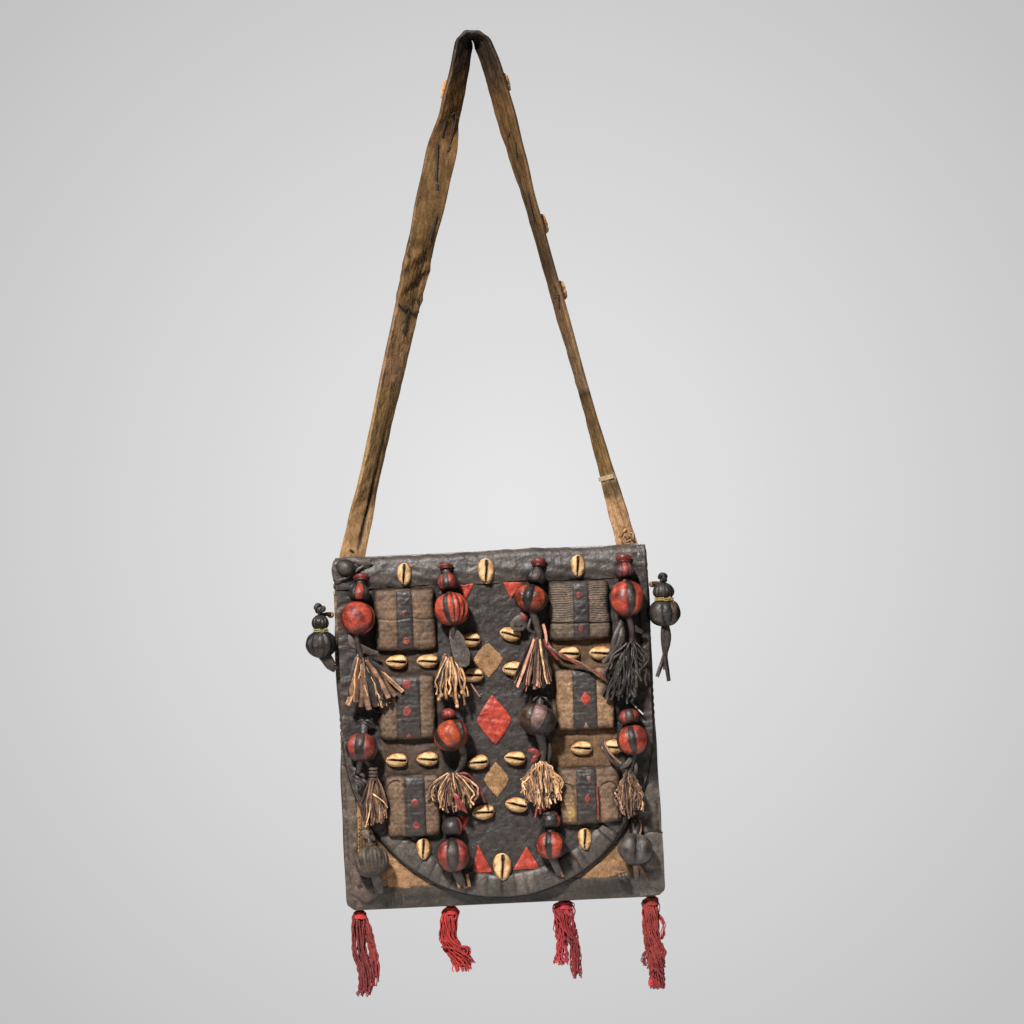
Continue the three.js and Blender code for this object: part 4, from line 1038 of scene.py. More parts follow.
def make_wrap():
    """Leather gathered into a lump over the band's left end, its tail folded across."""
    skin = Skin()

    def under(x, z):
        return FLAP_FACE - 1.6 + 2.6 * smooth(z, -3, 3.2) + 0 * x

    edges = [(3.4, -128, -112), (1, -136.5, -104), (-6, -138.6, -105), (-10.5, -138.4, -118),
             (-15.5, -137.5, -128), (-19.6, -135.6, -131)]
    skin.add(patch(edges, under, 2.4, 40, 31, 0.4, 101, 2.0), BLACK_WORN, IN_SMOOTH)
    lump = ball((-125.5, FLAP_FACE - 2.2, -6), (0.35, -0.1, 1), 9.4, 7.4, [(60, BLACK_WORN)] * 6, 20, 0.03,
                18, seam=0.9)
    skin.add(lump, None, IN_SMOOTH)
    folds = [
        ([(-133, -22.4, -17), (-124, -23.4, -13.6), (-114, -22.8, -7), (-106, -21.6, -2.6)], 3.4, 2.4),
        ([(-119, -22.2, 0), (-112, -22.6, -2), (-103, -21.4, -3)], 5.6, 2.6),
    ]
    for path, width, thick in folds:
        swell = np.sin(np.linspace(0.3, np.pi - 0.25, 18)) ** 0.7
        skin.add(sweep(spline(path, 18), width * swell, thick * swell, FRONT, 12), BLACK_WORN, IN_SMOOTH)
    return skin.build("band_wrap", "flap", "black_leather", LEATHERS, ["corner_wrap"])


# Packets: middle x and z, width, height, band's left and right x, tint of the panels
PACKETS = {
    "packet_left_upper": (-76.5, -53.5, 54, 54, (-83.6, -69.4), PACKET * 0.85),
    "packet_left_middle": (-78, -130, 50, 56, (-87.5, -66.5), lin(120, 95, 73)),
    "packet_left_lower": (-76.5, -216.5, 48, 54, (-84, -66), PACKET),
    "packet_right_upper": (76, -52.5, 54, 52, (70.8, 84.8), lin(108, 90, 73)),
    "packet_right_middle": (77.5, -130, 52, 54, (67, 87.8), PACKET_PALE),
    "packet_right_lower": (78.5, -214.5, 54, 50, (66, 84), PACKET),
}


def arch_distance(x, z, middle, half, spring):
    """Distance from an arch: a half circle on two straight legs."""
    above = np.abs(np.hypot(x - middle, z - spring) - half)
    return np.where(z > spring, above, np.abs(np.abs(x - middle) - half))


def packet_top(name, x, z):
    """y of a packet's face."""
    cx, cz, w, h, band, _ = PACKETS[name]
    u, v = np.clip(2 * (x - cx) / w, -1, 1), np.clip(2 * (z - cz) / h, -1, 1)
    rise = 8.3 * (1 - np.abs(u) ** 13) ** 0.4 * (1 - np.abs(v) ** 13) ** 0.4
    rise = rise + 0.6 * (1 - u * u) * (1 - v * v)
    rise = rise + 0.26 * wobble(xz(x, z), 18, 111) + 0.16 * wobble(xz(x, z * 2.4), 6, 112)
    cut = 0.6 * (np.exp(-((x - band[0]) / 0.9) ** 2) + np.exp(-((x - band[1]) / 0.9) ** 2))
    if name == "packet_right_upper":
        ribs = 0.5 + 0.5 * np.cos(2 * np.pi * (z + 0.5 * wobble(xz(x, z), 20, 113)) / 2.0)
        beside = smooth(np.abs(x - (band[0] + band[1]) / 2), 7, 8)
        cut = cut + 0.6 * ribs * smooth(z, -64, -62) * beside
        cut = cut + 1.7 * np.exp(-((z + 63.5 + 0.03 * (x - 76)) / 0.8) ** 2)
    if name == "packet_left_upper":
        cut = cut + 0.9 * np.exp(-((z + 53 + 0.8 * np.sin(x / 5)) / 0.9) ** 2)
    if name == "packet_left_lower":
        cut = cut + 1.3 * np.exp(-(arch_distance(x, z, -91, 8.6, -203) / 0.8) ** 2) * smooth(-x, 82, 83)
    if name == "packet_right_lower":
        for middle in (57.0, 95.0):
            near = np.exp(-(arch_distance(x, z, middle, 8.4, -212) / 0.8) ** 2)
            cut = cut + 1.2 * near * smooth(np.abs(x - 75), 9, 10)
    return PACKET_SEAT - np.maximum(rise - cut, 0)


def make_packets():
    """Stitched leather packets, each with a dark band and red marks."""
    for k, (name, (cx, cz, w, h, band, tint)) in enumerate(PACKETS.items()):
        rows, cols = 120, 58
        u = np.sin(np.linspace(-1.3, 1.3, cols)) / math.sin(1.3)
        v = np.linspace(1, -1, rows)[:, None]
        v = 0.5 * v + 0.5 * np.sin(v * 1.35) / math.sin(1.35)
        corner = 1 - 0.045 * np.abs(u * v) ** 9 - 0.012 * (1 - np.abs(v) ** 2)
        x = cx + u * w / 2 * corner + 0.4 * wobble(xz(0 * u, v * h), 30, 120 + k)
        z = cz + v * h / 2 * (1 - 0.045 * np.abs(u * v) ** 9) + 0.4 * wobble(xz(u * w, 0 * v), 26, 130 + k)
        top = packet_top(name, cx + u * w / 2, cz + v * h / 2)
        front = np.stack([x, top, z], -1)
        shade = smooth(PACKET_SEAT - top, 2, 7.5)
        # Painted shade: each packet's face darkens towards its edges; the blotches below are random tone.
        painted_shade_and_mottle = 1 - 0.45 * np.maximum(np.abs(u), np.abs(v)) ** 6
        painted_shade_and_mottle = painted_shade_and_mottle * (0.84 + 0.34 * smooth(wobble(xz(x, z * 1.6), 15, 150 + k), -1, 1))
        colours = mix(STRIP_DARK, tint * painted_shade_and_mottle[..., None], shade)
        if name == "packet_right_lower":
            colours = mix(colours, OCHRE, 0.55 * np.exp(-((x - 61) / 4) ** 2 - ((z + 228) / 9) ** 2))
        skin = Skin()
        skin.add(dome(front), colours.reshape(-1, 3), IN_DRY)

        def surface(px, pz, name=name):
            return packet_top(name, px, pz)

        low, high = cz - h / 2 + 0.5, cz + h / 2 - 0.5
        ends = [(high, band[0] + 0.4, band[1] + 0.4), (cz, *band), (low, band[0] - 0.6, band[1] - 0.6)]
        skin.add(patch(ends, surface, 0.9, 60, 13, 0.1, 140 + k, 1.0), BLACK, IN_SMOOTH)
        add_packet_marks(skin, name, lambda px, pz: surface(px, pz) - 0.75)
        piece = skin.build("pad_" + name, "flap", "brown_leather", LEATHERS, [name])


def add_packet_marks(skin, name, surface):
    """Red dots, diamonds and edgings on a packet's band."""
    dots = {
        "packet_left_upper": [(-77.5, -47.7, 1.7, 2.4, RED_DULL), (-76, -72, 3.0, 3.2, lin(170, 84, 62))],
        "packet_left_middle": [(-77.5, -109.5, 4.0, 4.4, RED_DULL), (-78.2, -133.4, 3.4, 4.4, RED_DULL)],
        "packet_left_lower": [(-75.3, -213.3, 3.2, 3.6, RED_DULL), (-74.5, -233.5, 3.2, 3.5, RED_DULL)],
        "packet_right_upper": [(76.3, -39, 2.2, 3.0, RED_DULL), (77, -68.1, 2.2, 3.0, RED_DULL)],
        "packet_right_lower": [(77.4, -199.4, 2.0, 2.4, WORN), (69.6, -196, 1.9, 2.2, GREY)],
    }
    for x, z, w, h, tint in dots.get(name, []):
        skin.add(patch(disc(x, z, w, h), surface, 0.7, 14, 9), tint, IN_PAINTED)
    if name == "packet_right_middle":
        skin.add(patch(lozenge(78, -129.5, 4.2, 6.2), surface, 0.7, 21, 9), RED, IN_PAINTED)
        mark = triangle((77.4, -150.5), (74.6, -155.6), (80.2, -155.6))
        skin.add(patch(mark, surface, 0.6, 12, 7), WORN, IN_PAINTED)
    if name == "packet_right_lower":
        skin.add(patch(lozenge(75.6, -217, 2.6, 4.6), surface, 0.7, 21, 9), RED_DULL, IN_PAINTED)
        edging = [(-206, 83.4, 84.6), (-222, 83.6, 85.4), (-236, 83, 84.6)]
        skin.add(patch(edging, surface, 0.5, 30, 5), RED_DULL, IN_PAINTED)
    if name == "packet_left_middle":
        mark = triangle((-77.6, -152.6), (-80, -156.8), (-74.6, -156.8))
        skin.add(patch(mark, surface, 0.6, 12, 7), RED_DULL, IN_PAINTED)


def strand(skin, points, width, thick, tint, slot=IN_DRY, square=2.6, sides=8, count=12, turn=0.0, tip=0.8,
           edge=None):
    """One thong or strip of leather along a smooth path, its edges darker unless a tint is given."""
    run = spline(points, count)
    taper = np.linspace(1, tip, count)
    rim = np.abs(np.cos((np.arange(sides) + 0.5) * 2 * np.pi / sides)) > 0.8
    around = mix(tint, tint * 0.6 if edge is None else edge, rim)
    streak = 0.85 + 0.22 * wobble(run, 9, 3)
    colours = (streak[:, None, None] * around).reshape(-1, 3)
    skin.add(sweep(run, width * taper, thick * taper, FRONT, sides, square, turn), colours, slot)


def leaf(skin, points, width, thick, tint, slot=IN_SMOOTH):
    """Leaf-shaped tab of leather."""
    run = spline(points, 14)
    swell = np.sin(np.linspace(0.25, np.pi - 0.2, 14)) ** 0.7
    skin.add(sweep(run, width * swell, thick * (0.5 + 0.5 * swell), FRONT, 10, 2.6), tint, slot)


def crown(skin, at, width, tall, tint):
    """Flattened leather loop at the top of a pendant."""
    bow = np.sin(np.linspace(0.3, np.pi - 0.3, 18)) ** 0.55
    for side, lift, share in ((0, 0.0, 1.0), (1, -0.4, 0.86)):
        half, level = width / 2 * share, np.array([0, -side, lift * tall])
        path = spline([at + level + p for p in ((-half, 1.6, -0.6), (0, -1.4, 0.5), (half, 1.6, -0.3))], 18)
        band = sweep(path, tall * bow * (1 - 0.4 * side), 4.2 * bow, FRONT, 12)
        # The second, lower loop is a darker copy of the first: painted shade.
        skin.add(band, tint * (0.7 - 0.35 * side), IN_PAINTED)


def fan(skin, rng, top, bottom, widths, count, strip, thick, tints, curl=0.0, square=2.6, ragged=5.0,
        knob=False, depth=TASSEL_Y, slot=IN_DRY, loose=0.5, edges=None):
    """Tassel of strips that spread from top to bottom, each (x, drop). loose is how far they stray."""
    t = np.linspace(0, 1, 7)
    for i in rng.permutation(count):
        f = (i + 0.5) / count * 2 - 1
        near = depth + rng.uniform(-2, 2)
        x0 = top[0] + f * widths[0] * 0.3 + rng.uniform(-0.8, 0.8)
        x1 = bottom[0] + f * widths[1] * 0.45 + rng.uniform(-2.5, 2.5) * loose
        z0 = -top[1] + rng.uniform(-1.5, 1.5)
        z1 = -bottom[1] + f * f * widths[1] / 6 + rng.uniform(0, ragged)
        sway = curl * f * widths[1] * 0.1 + rng.uniform(-2, 2) * loose
        x = x0 + (x1 - x0) * t + sway * np.sin(np.pi * t) + loose * rng.normal(size=7) * t
        y = near - 1.2 * np.sin(np.pi * t) + 0.5 * loose * rng.normal(size=7)
        path = np.stack([x, y, z0 + (z1 - z0) * t], 1)
        tint = tints[rng.integers(len(tints))] * rng.uniform(0.75, 1.1)
        width = strip * rng.uniform(0.7, 1.3)
        turn = np.linspace(*rng.uniform(-0.9, 0.9, 2), 14)
        edge = None if edges is None else edges[rng.integers(len(edges))]
        strand(skin, path, width, thick, tint, slot, square, 8, 14, turn, rng.uniform(0.85, 1.25), edge)
        if knob:
            end = ball(path[-1], UP, width * 0.62, width * 0.75, [(120, tint)] * 3, 0, 0.05, 7)
            skin.add(end, None, slot)


def mop(skin, rng, x, drop, half, tall, count, strip, tints, edges, depth):
    """Thick tassel whose strands leave its top all round and fall over each other."""
    for _ in range(count):
        f = rng.uniform(-1, 1)
        out = half * f
        end = tall * rng.uniform(0.5, 1) * (1 - 0.2 * f * f)
        y = depth - rng.uniform(0, 4.5) * (1 - 0.5 * abs(f))
        shoulder = 1.5 + 9 * f * f + rng.uniform(0, 5)
        path = [(x + out * 0.2, y + 2, -drop - rng.uniform(0, 3)),
                (x + out * 0.72, y - 1.6, -drop - shoulder),
                (x + out + rng.uniform(-1.5, 1.5), y, -drop - shoulder - 0.45 * (end - shoulder)),
                (x + out * rng.uniform(0.75, 1.08) + rng.uniform(-2, 2), y + rng.uniform(-1, 1),
                 -drop - max(end, shoulder + 5))]
        path = spline(path, 9) + rng.normal(size=(9, 3)) * [0.75, 0.5, 0.4]
        tint = tints[rng.integers(len(tints))] * rng.uniform(0.6, 1.1)
        strand(skin, path, strip * rng.uniform(0.8, 1.2), strip * 0.85, tint, IN_DRY, 2.2, 6, 18, 0.0, 1.0,
               edges[rng.integers(len(edges))])


def wrap_cord(skin, middle, radius, turns, width, tint, slot=IN_YARN, rise=1.0):
    """Thread or thong wound round a neck."""
    angle = np.linspace(0, 2 * np.pi * turns, 14 * turns)
    out = np.stack([np.sin(angle), -np.cos(angle), 0 * angle], 1)
    path = middle + radius * out + rise * angle[:, None] / (2 * np.pi) * UP
    skin.add(sweep(path, width, width * 0.8, out, 6), tint, slot)


# Short names for the tints of gores
R, O, P, D, K, W = BALL_RED, BALL_ORANGE, BALL_DEEP, BALL_DARK, BALL_BLACK, WORN
SIDE_Y = FACE - 7
SIDE_SHADE = 0.6
SIDE_PLUMP, SIDE_TALL = 1.08, 1.04
# Bulbs as drop, radius, half height; drop of the tie at the seam; start angle and gores of the ball
SIDE_PENDANTS = {
    "pendant_side_left": {
        "side": -1, "bulbs": [(40.5, 6, 5), (52.5, 7.6, 7), (71.5, 12.6, 11.6)], "tie": 46.5,
        "cord": CORD_GREEN, "ball": (-40, [(25, K), (31, D), (34, K), (30, K)] * 3),
    },
    "pendant_side_right": {
        "side": 1, "bulbs": [(27.5, 5, 4.4), (39, 9.6, 7.6), (58, 13.2, 11.8)], "tie": 33,
        "cord": CORD_YELLOW,
        "ball": (-60, [(50, OLIVE), (40, K), (40, BROWN), (50, K), (45, OLIVE), (45, K), (45, OLIVE),
                       (45, K)]),
    },
}


def hang_outer_left_upper(skin, seat, middle, low):
    """Broad fan of dark strips with tan edges, below two folded tabs."""
    rng = np.random.default_rng(201)
    leaf(skin, [low + [-6, 1, 0], low + [-3, 0, -8], (-109, -30, -79.5), (-101, -29, -81)], 6.5, 1.6,
         GREY * 0.8)
    strand(skin, [low, low + [1, 1, -10], (-114, TASSEL_Y, -90)], 5, 4.2, STRIP_DARK, IN_SMOOTH)
    leaf(skin, [(-112, -31, -76), (-119, -33, -86), (-123, -32, -100), (-122, -30, -114)], 6, 1.8,
         BLACK_WORN)
    fan(skin, rng, (-114, 86), (-108, 131), (13, 47), 12, 5, 1.6,
        [STRIP_BROWN * 0.7, STRIP_DARK, STRIP_DARK], 0.2, 4, 9, edges=[STRIP_TAN, STRIP_DARK, STRIP_DARK],
        loose=0.7)
    fan(skin, rng, (-114, 86), (-108, 132), (12, 46), 10, 4.6, 2.0,
        [STRIP_BROWN * 1.2, STRIP_DARK, STRIP_TAN, STRIP_BROWN], 0.2, 3, 14, depth=TASSEL_Y - 1.6,
        edges=[STRIP_TAN, STRIP_CREAM, STRIP_DARK], loose=1.0)
    strand(skin, [(-112, TASSEL_Y, -86), (-100, -33, -97), (-81, -30.5, -116)], 4.2, 2.0, STRIP_BROWN,
           edge=STRIP_TAN)
    strand(skin, [(-113, -34, -88), (-104, -34.5, -91), (-96, -33, -97)], 5, 1.6, STRIP_DARK)


def hang_outer_left_lower(skin, seat, middle, low):
    """Knot of dark thongs, and a bound tassel of thin strips."""
    rng = np.random.default_rng(202)
    for k in range(5):
        at = seat + rng.uniform(-3.4, 3.4, 3) * [1.2, 0.5, 1]
        strand(skin, [at + [-4, 0, 1], at + [0, -2, 2], at + [4, 0, -1]], 3.2, 2.6, [K, D, P][k % 3],
               IN_PAINTED)
    strand(skin, [low, low + [-2, 1, -8], (-124, -29, -186)], 5.5, 4.6, BLACK, IN_SMOOTH)
    for k in range(9):
        x, z = -124 + rng.uniform(-7, 7), -188 + rng.uniform(-7, 6)
        path = [(x - 4, -29, z + 3), (x - 1, -32.5, z + 1), (x + 3, -32, z - 2), (x + 1, -30, z - 5)]
        strand(skin, path, 3.6, 2.8, [BLACK, GREY * 0.7][k % 2], IN_SMOOTH)
    strand(skin, [low + [3, 0, 1], (-112, -31, -180), (-110, TASSEL_Y, -190)], 4, 4, STRIP_DARK, IN_SMOOTH)
    for drop in (182, 185, 188, 191):
        wrap_cord(skin, np.array([-110, TASSEL_Y, -drop]), 3.4, 1, 2.4, GREY * 0.8, IN_SMOOTH, 0.3)
    fan(skin, rng, (-110, 190), (-110.5, 230), (8, 24), 16, 2.8, 1.3, DARK_STRIPS, 0.8, 3, 8,
        depth=TASSEL_Y + 1)
    fan(skin, rng, (-110, 190), (-110.5, 232), (9, 26), 30, 1.5, 1.2,
        [STRIP_BROWN, STRIP_DARK, STRIP_TAN, STRIP_BROWN], 0.8, 2.4, 9, loose=0.8,
        edges=[STRIP_BROWN, STRIP_DARK], depth=TASSEL_Y - 0.6)
    strand(skin, [(-112, -35, -203), (-103, -36, -210), (-99, -34, -216)], 1.6, 1.3, STRIP_CREAM)
    strand(skin, [(-113, -35, -206), (-115, -36, -220), (-119, -33, -232)], 1.6, 1.3, STRIP_CREAM)


def hang_inner_left_upper(skin, seat, middle, low):
    """Grey tag, and pale strips that end in knobs."""
    rng = np.random.default_rng(203)
    strand(skin, [low, low + [-1, 0, -7], (-37, TASSEL_Y, -88)], 4.4, 4, STRIP_DARK, IN_SMOOTH)
    tag = [(-62, -37, -32), (-70, -38.4, -26), (-86, -36, -20.5), (-95, -32.5, -22), (-97, -31, -25)]
    skin.add(patch(tag, lambda x, z: np.full_like(x, middle[1] - 3.0), 1.0, 26, 11, 0.3, 204, 0.9), GREY,
             IN_SMOOTH)
    fan(skin, rng, (-40, 86), (-42, 120), (14, 28), 10, 3.0, 1.8, [STRIP_BROWN * 0.7, STRIP_DARK], 0.3, 2.6,
        10, loose=1.2)
    fan(skin, rng, (-38, 88), (-38, 131), (12, 31), 19, 2.5, 2.4,
        [STRIP_CREAM * 0.85, STRIP_TAN, STRIP_BROWN, STRIP_TAN], 0.5, 2.2, 14, True, depth=TASSEL_Y - 1.4,
        loose=1.3, edges=[STRIP_BROWN, STRIP_DARK])


def hang_inner_left_middle(skin, seat, middle, low):
    """Thin strips that spread wide, with a red thong and two red tabs."""
    rng = np.random.default_rng(205)
    skin.add(ball(seat + [0, -1, 0], UP, 6.4, 6.2, [(60, BALL_DEEP)] * 6, 0, 0.06, 10), None, IN_PAINTED)
    path = [low + [5, 2, 6], (-31, middle[1] + 2, -172), (-33, TASSEL_Y, -184), (-41, TASSEL_Y, -193)]
    strand(skin, path, 7, 5, BLACK, IN_SMOOTH, turn=np.linspace(0, 1.2, 12))
    tints = [STRIP_TAN, STRIP_BROWN, STRIP_DARK, STRIP_BROWN, STRIP_PINK]
    fan(skin, rng, (-41, 190), (-40, 222), (12, 36), 22, 2.8, 1.4, DARK_STRIPS, 1.6, 3, 10, loose=1.2,
        depth=TASSEL_Y + 1)
    fan(skin, rng, (-41, 190), (-40, 225), (12, 47), 40, 1.7, 1.4, tints, 1.6, 2.6, 12, loose=1.1,
        edges=[STRIP_DARK, STRIP_CREAM, STRIP_BROWN], depth=TASSEL_Y - 0.8)
    strand(skin, [(-38, -34, -190), (-28, -36, -190), (-19, -34, -201), (-14, -32, -216)], 2.4, 2,
           RED_DULL * 0.7, IN_PAINTED)
    leaf(skin, [(-41, -36.5, -206), (-38, -37.5, -211), (-36, -36.5, -221)], 4.4, 1.6, BALL_DEEP,
         IN_PAINTED)
    leaf(skin, [(-36, -36.5, -212), (-34, -37, -218), (-30, -35, -224)], 3.4, 1.4, BALL_DEEP, IN_PAINTED)


def hang_inner_left_lower(skin, seat, middle, low):
    """Short dark thong and three strip ends over the rim."""
    tube = [low + [1, 1, 3], low + [4, 2, -4], (-37, FLAP_FACE - 5, -286)]
    strand(skin, tube, 9, 6, BLACK, IN_SMOOTH)
    for k, tint in enumerate((STRIP_TAN, STRIP_BROWN, STRIP_TAN)):
        x = -42 + 4.5 * k
        path = [(x, FLAP_FACE - 7, -278), (x + 1, FLAP_FACE - 8, -283), (x + 2, FLAP_FACE - 6, -289)]
        strand(skin, path, 4, 2.2, tint * 0.7, edge=STRIP_DARK)


def hang_inner_right_upper(skin, seat, middle, low):
    """Pink and dark strips, with tabs and a twisted thong to the right."""
    rng = np.random.default_rng(206)
    strand(skin, [low + [2, 0, 3], low + [5, 1, -6], (40, -31, -72), (38, TASSEL_Y, -84)], 7, 5.5,
           BLACK_WORN, IN_SMOOTH)
    leaf(skin, [(31, -30, -57), (24, -31.5, -58), (19, -30, -63), (27, -29, -66)], 9, 2.2, GREY * 0.8)
    leaf(skin, [(25, -31, -52), (28, -32, -56), (30, -30, -60)], 5, 2.0, BALL_DEEP * 0.8, IN_PAINTED)
    strand(skin, [(34, -31, -58), (31, -33, -66), (36, -32, -70)], 3, 2, BLACK, IN_SMOOTH)
    strand(skin, [(44, -28, -63), (46, -31, -74), (45, -33, -83)], 3.0, 1.8, STRIP_PINK)
    fan(skin, rng, (38, 76), (33, 121), (11, 36), 12, 3.6, 1.2, [STRIP_DARK, STRIP_DARK, STRIP_BROWN], 0.0,
        3.5, 7, edges=[STRIP_DARK, STRIP_PINK])
    fan(skin, rng, (38, 76), (33, 122), (11, 37), 14, 2.2, 1.5,
        [STRIP_PINK, STRIP_BROWN, STRIP_PINK * 0.8, STRIP_DARK, STRIP_CREAM], 0.0, 3.5, 8,
        depth=TASSEL_Y - 1.4, edges=[STRIP_DARK, STRIP_BROWN])
    thong = [(44, -31.5, -76), (46, -32.5, -82), (55, -33, -88.3), (66, -33.5, -94.8), (83, -33, -103.6),
             (98, -32, -115.6)]
    for k in (0, 1):
        run = spline(thong, 40)
        twist = np.linspace(0, 16, 40) + math.pi * k
        run = run + 0.9 * np.stack([0 * twist, np.cos(twist), np.sin(twist)], 1)
        skin.add(sweep(run, 2.3, 2.0, FRONT, 6), (BALL_DEEP * 0.7, STRIP_BROWN * 0.8)[k], IN_PAINTED)
    strand(skin, [(46, -31, -80), (52, -32, -88), (56, -30, -94)], 5, 1.4, BALL_DEEP, IN_PAINTED)


def hang_inner_right_middle(skin, seat, middle, low):
    """Thick pale mop on a dark thong, with red tabs and ends."""
    rng = np.random.default_rng(207)
    for dx in (-4, 0, 4):
        strand(skin, [seat + [dx, 1, -3], seat + [dx * 1.4, -2, 1], seat + [dx * 0.4, 0, 4]], 2.8, 2.2, D,
               IN_PAINTED)
    strand(skin, [low + [1, 0, 4], (38.5, middle[1] + 2, -168), (37, TASSEL_Y, -182)], 8.5, 6, BLACK,
           IN_SMOOTH)
    strand(skin, [(44, -29, -163), (45, -31, -172), (43, -30, -184)], 5, 4, BLACK, IN_SMOOTH,
           turn=np.linspace(0, 5, 12))
    leaf(skin, [(36, -34.5, -176), (31, -36.4, -173), (26, -35, -172)], 5.4, 3, BALL_DEEP * 0.8, IN_PAINTED)
    leaf(skin, [(35, -35, -176), (31, -37, -179), (28, -35, -183)], 5, 3, BALL_DEEP * 0.8, IN_PAINTED)
    mop(skin, rng, 36, 183, 16, 40, 50, 2.4, DARK_STRIPS, [STRIP_DARK], TASSEL_Y + 2)
    mop(skin, rng, 36, 182, 17, 42, 110, 1.6, [STRIP_TAN, STRIP_CREAM, STRIP_TAN, STRIP_BROWN],
        [STRIP_BROWN, STRIP_TAN, STRIP_DARK], TASSEL_Y)
    for dx in (0, 3, 6):
        path = [(34 + dx, -33, -214), (31 + dx, -34, -223), (29 + dx * 1.6, -32, -231 + dx)]
        strand(skin, path, 2.2, 1.6, BALL_DEEP, IN_PAINTED)


def hang_inner_right_lower(skin, seat, middle, low):
    """Bound neck, a dark thong and one strip end."""
    wrap_cord(skin, seat + [0, -2.2, 4], 6.0, 1, 2.6, BLACK, IN_SMOOTH, 2.0)
    strand(skin, [low + [0, 1, 2], low + [3, 3, -5], (48, FLAP_FACE - 4, -282)], 8, 5, BLACK_WORN,
           IN_SMOOTH)
    strand(skin, [(44, FLAP_FACE - 7, -268), (48, FLAP_FACE - 8, -276), (51, FLAP_FACE - 5, -284)], 3, 1.8,
           STRIP_BROWN)


def hang_outer_right_upper(skin, seat, middle, low):
    """Tangle of black strips below two looped thongs."""
    rng = np.random.default_rng(208)
    strand(skin, [low + [0, 0, 3], low + [2, 2, -9], (121, -30, -78), (118, TASSEL_Y, -92)], 6, 5, BLACK,
           IN_SMOOTH)
    loop = [(114, -28, -62), (110, -33, -70), (105, -34, -80), (103, -33, -90), (95, -32, -99)]
    strand(skin, loop, 5.5, 3.6, BLACK_WORN * 0.7, IN_SMOOTH)
    strand(skin, [(113, -29, -66), (112, -34.5, -73), (108, -35, -84), (101, -33, -95)], 4.4, 3.2,
           GREY * 0.5, IN_SMOOTH)
    strand(skin, [(118, -30, -62), (124, -32, -70), (130, -29, -74)], 5, 3, BLACK, IN_SMOOTH)
    tints = [BLACK * 0.8, BLACK_WORN * 0.8, BLACK * 0.5]
    fan(skin, rng, (118, 84), (113, 137), (14, 36), 24, 2.8, 2.4, tints, 1.0, 2.2, 14, slot=IN_SMOOTH,
        loose=1.7)
    fan(skin, rng, (119, 84), (115, 128), (14, 34), 14, 2.6, 2.2, tints, 1.4, 2.2, 20, depth=TASSEL_Y - 1.6,
        slot=IN_SMOOTH, loose=2.0)
    strand(skin, [(112, -34, -90), (102, -35, -97), (97, -33, -107), (100, -31, -113)], 3, 2.4, BLACK,
           IN_SMOOTH)


def hang_outer_right_lower(skin, seat, middle, low):
    """Small dark mop, with thongs from the left."""
    rng = np.random.default_rng(209)
    strand(skin, [low + [0, 0, 3], (115, -31, -190), (112, TASSEL_Y, -200)], 5.5, 4.6, BLACK, IN_SMOOTH)
    strand(skin, [(118, -29, -184), (119, -31, -193), (117, -30, -200)], 4, 3, BLACK_WORN, IN_SMOOTH)
    strand(skin, [(90, -30, -165), (94, -33, -178), (101, -34, -187.5), (112, -33, -192)], 3.2, 1.6,
           STRIP_DARK)
    strand(skin, [(92, -30.5, -168), (98, -35, -179), (106, -35, -187)], 2.4, 1.5, STRIP_BROWN)
    leaf(skin, [(117, -33, -180), (112, -35.5, -187), (105, -34, -192)], 4.4, 1.6, OLIVE, IN_DRY)
    mop(skin, rng, 112, 197, 11, 38, 30, 2.4, DARK_STRIPS, [STRIP_DARK], TASSEL_Y + 2)
    tints = [STRIP_DARK, STRIP_BROWN, STRIP_TAN, STRIP_BROWN, STRIP_DARK]
    mop(skin, rng, 112, 196, 11.5, 41, 46, 1.5, tints, [STRIP_DARK, STRIP_BROWN], TASSEL_Y)


def hang_low_left(skin, seat, middle, low):
    """Folded tab above, bound neck and two dark ends below."""
    leaf(skin, [seat + [-6, 0, 4], seat + [-1, -3, 1], seat + [5, -2, -4]], 8, 3.4, lin(100, 84, 70),
         IN_DRY)
    wrap_cord(skin, 2 * middle - low + unit(middle - low), 4.6, 2, 2.6, BROWN, IN_SMOOTH, 1.4)
    leaf(skin, [low + [0, 1, 4], (-111, -26, -281), (-108, -22, -291)], 8, 2.6, BLACK_WORN)
    strand(skin, [low + [-1, 1, 2], (-114, -25, -283), (-112, -21, -290)], 3, 2.2, BLACK, IN_SMOOTH)


def hang_low_right(skin, seat, middle, low):
    """Threads above, two ends below and a heap of dark leaves beside them."""
    rng = np.random.default_rng(210)
    for k in range(4):
        x = seat[0] - 3 + 2 * k
        path = [(x, seat[1], seat[2] + 3), (x + 1, seat[1] - 1, seat[2] - 5),
                (x - 1, middle[1], middle[2] + 11)]
        strand(skin, path, 2.4, 2.0, [STRIP_DARK, STRIP_BROWN][k % 2], IN_DRY)
    strand(skin, [low + [0, 0, 4], low + [1, 1, -5], (115, -22, -289)], 5.5, 3.4, BROWN, IN_SMOOTH)
    strand(skin, [low + [1, 0, 0], (121, -24, -284), (125, -21, -291)], 4, 2.4, TAN_DARK, IN_DRY)
    for k in range(5):
        x, z = 105 + rng.uniform(-4, 4), -288 + rng.uniform(-4, 5)
        leaf(skin, [(x - 3, -19.5, z + 2), (x, -22.5, z), (x + 3, -19.5, z - 3)], 4, 2.4, BLACK)


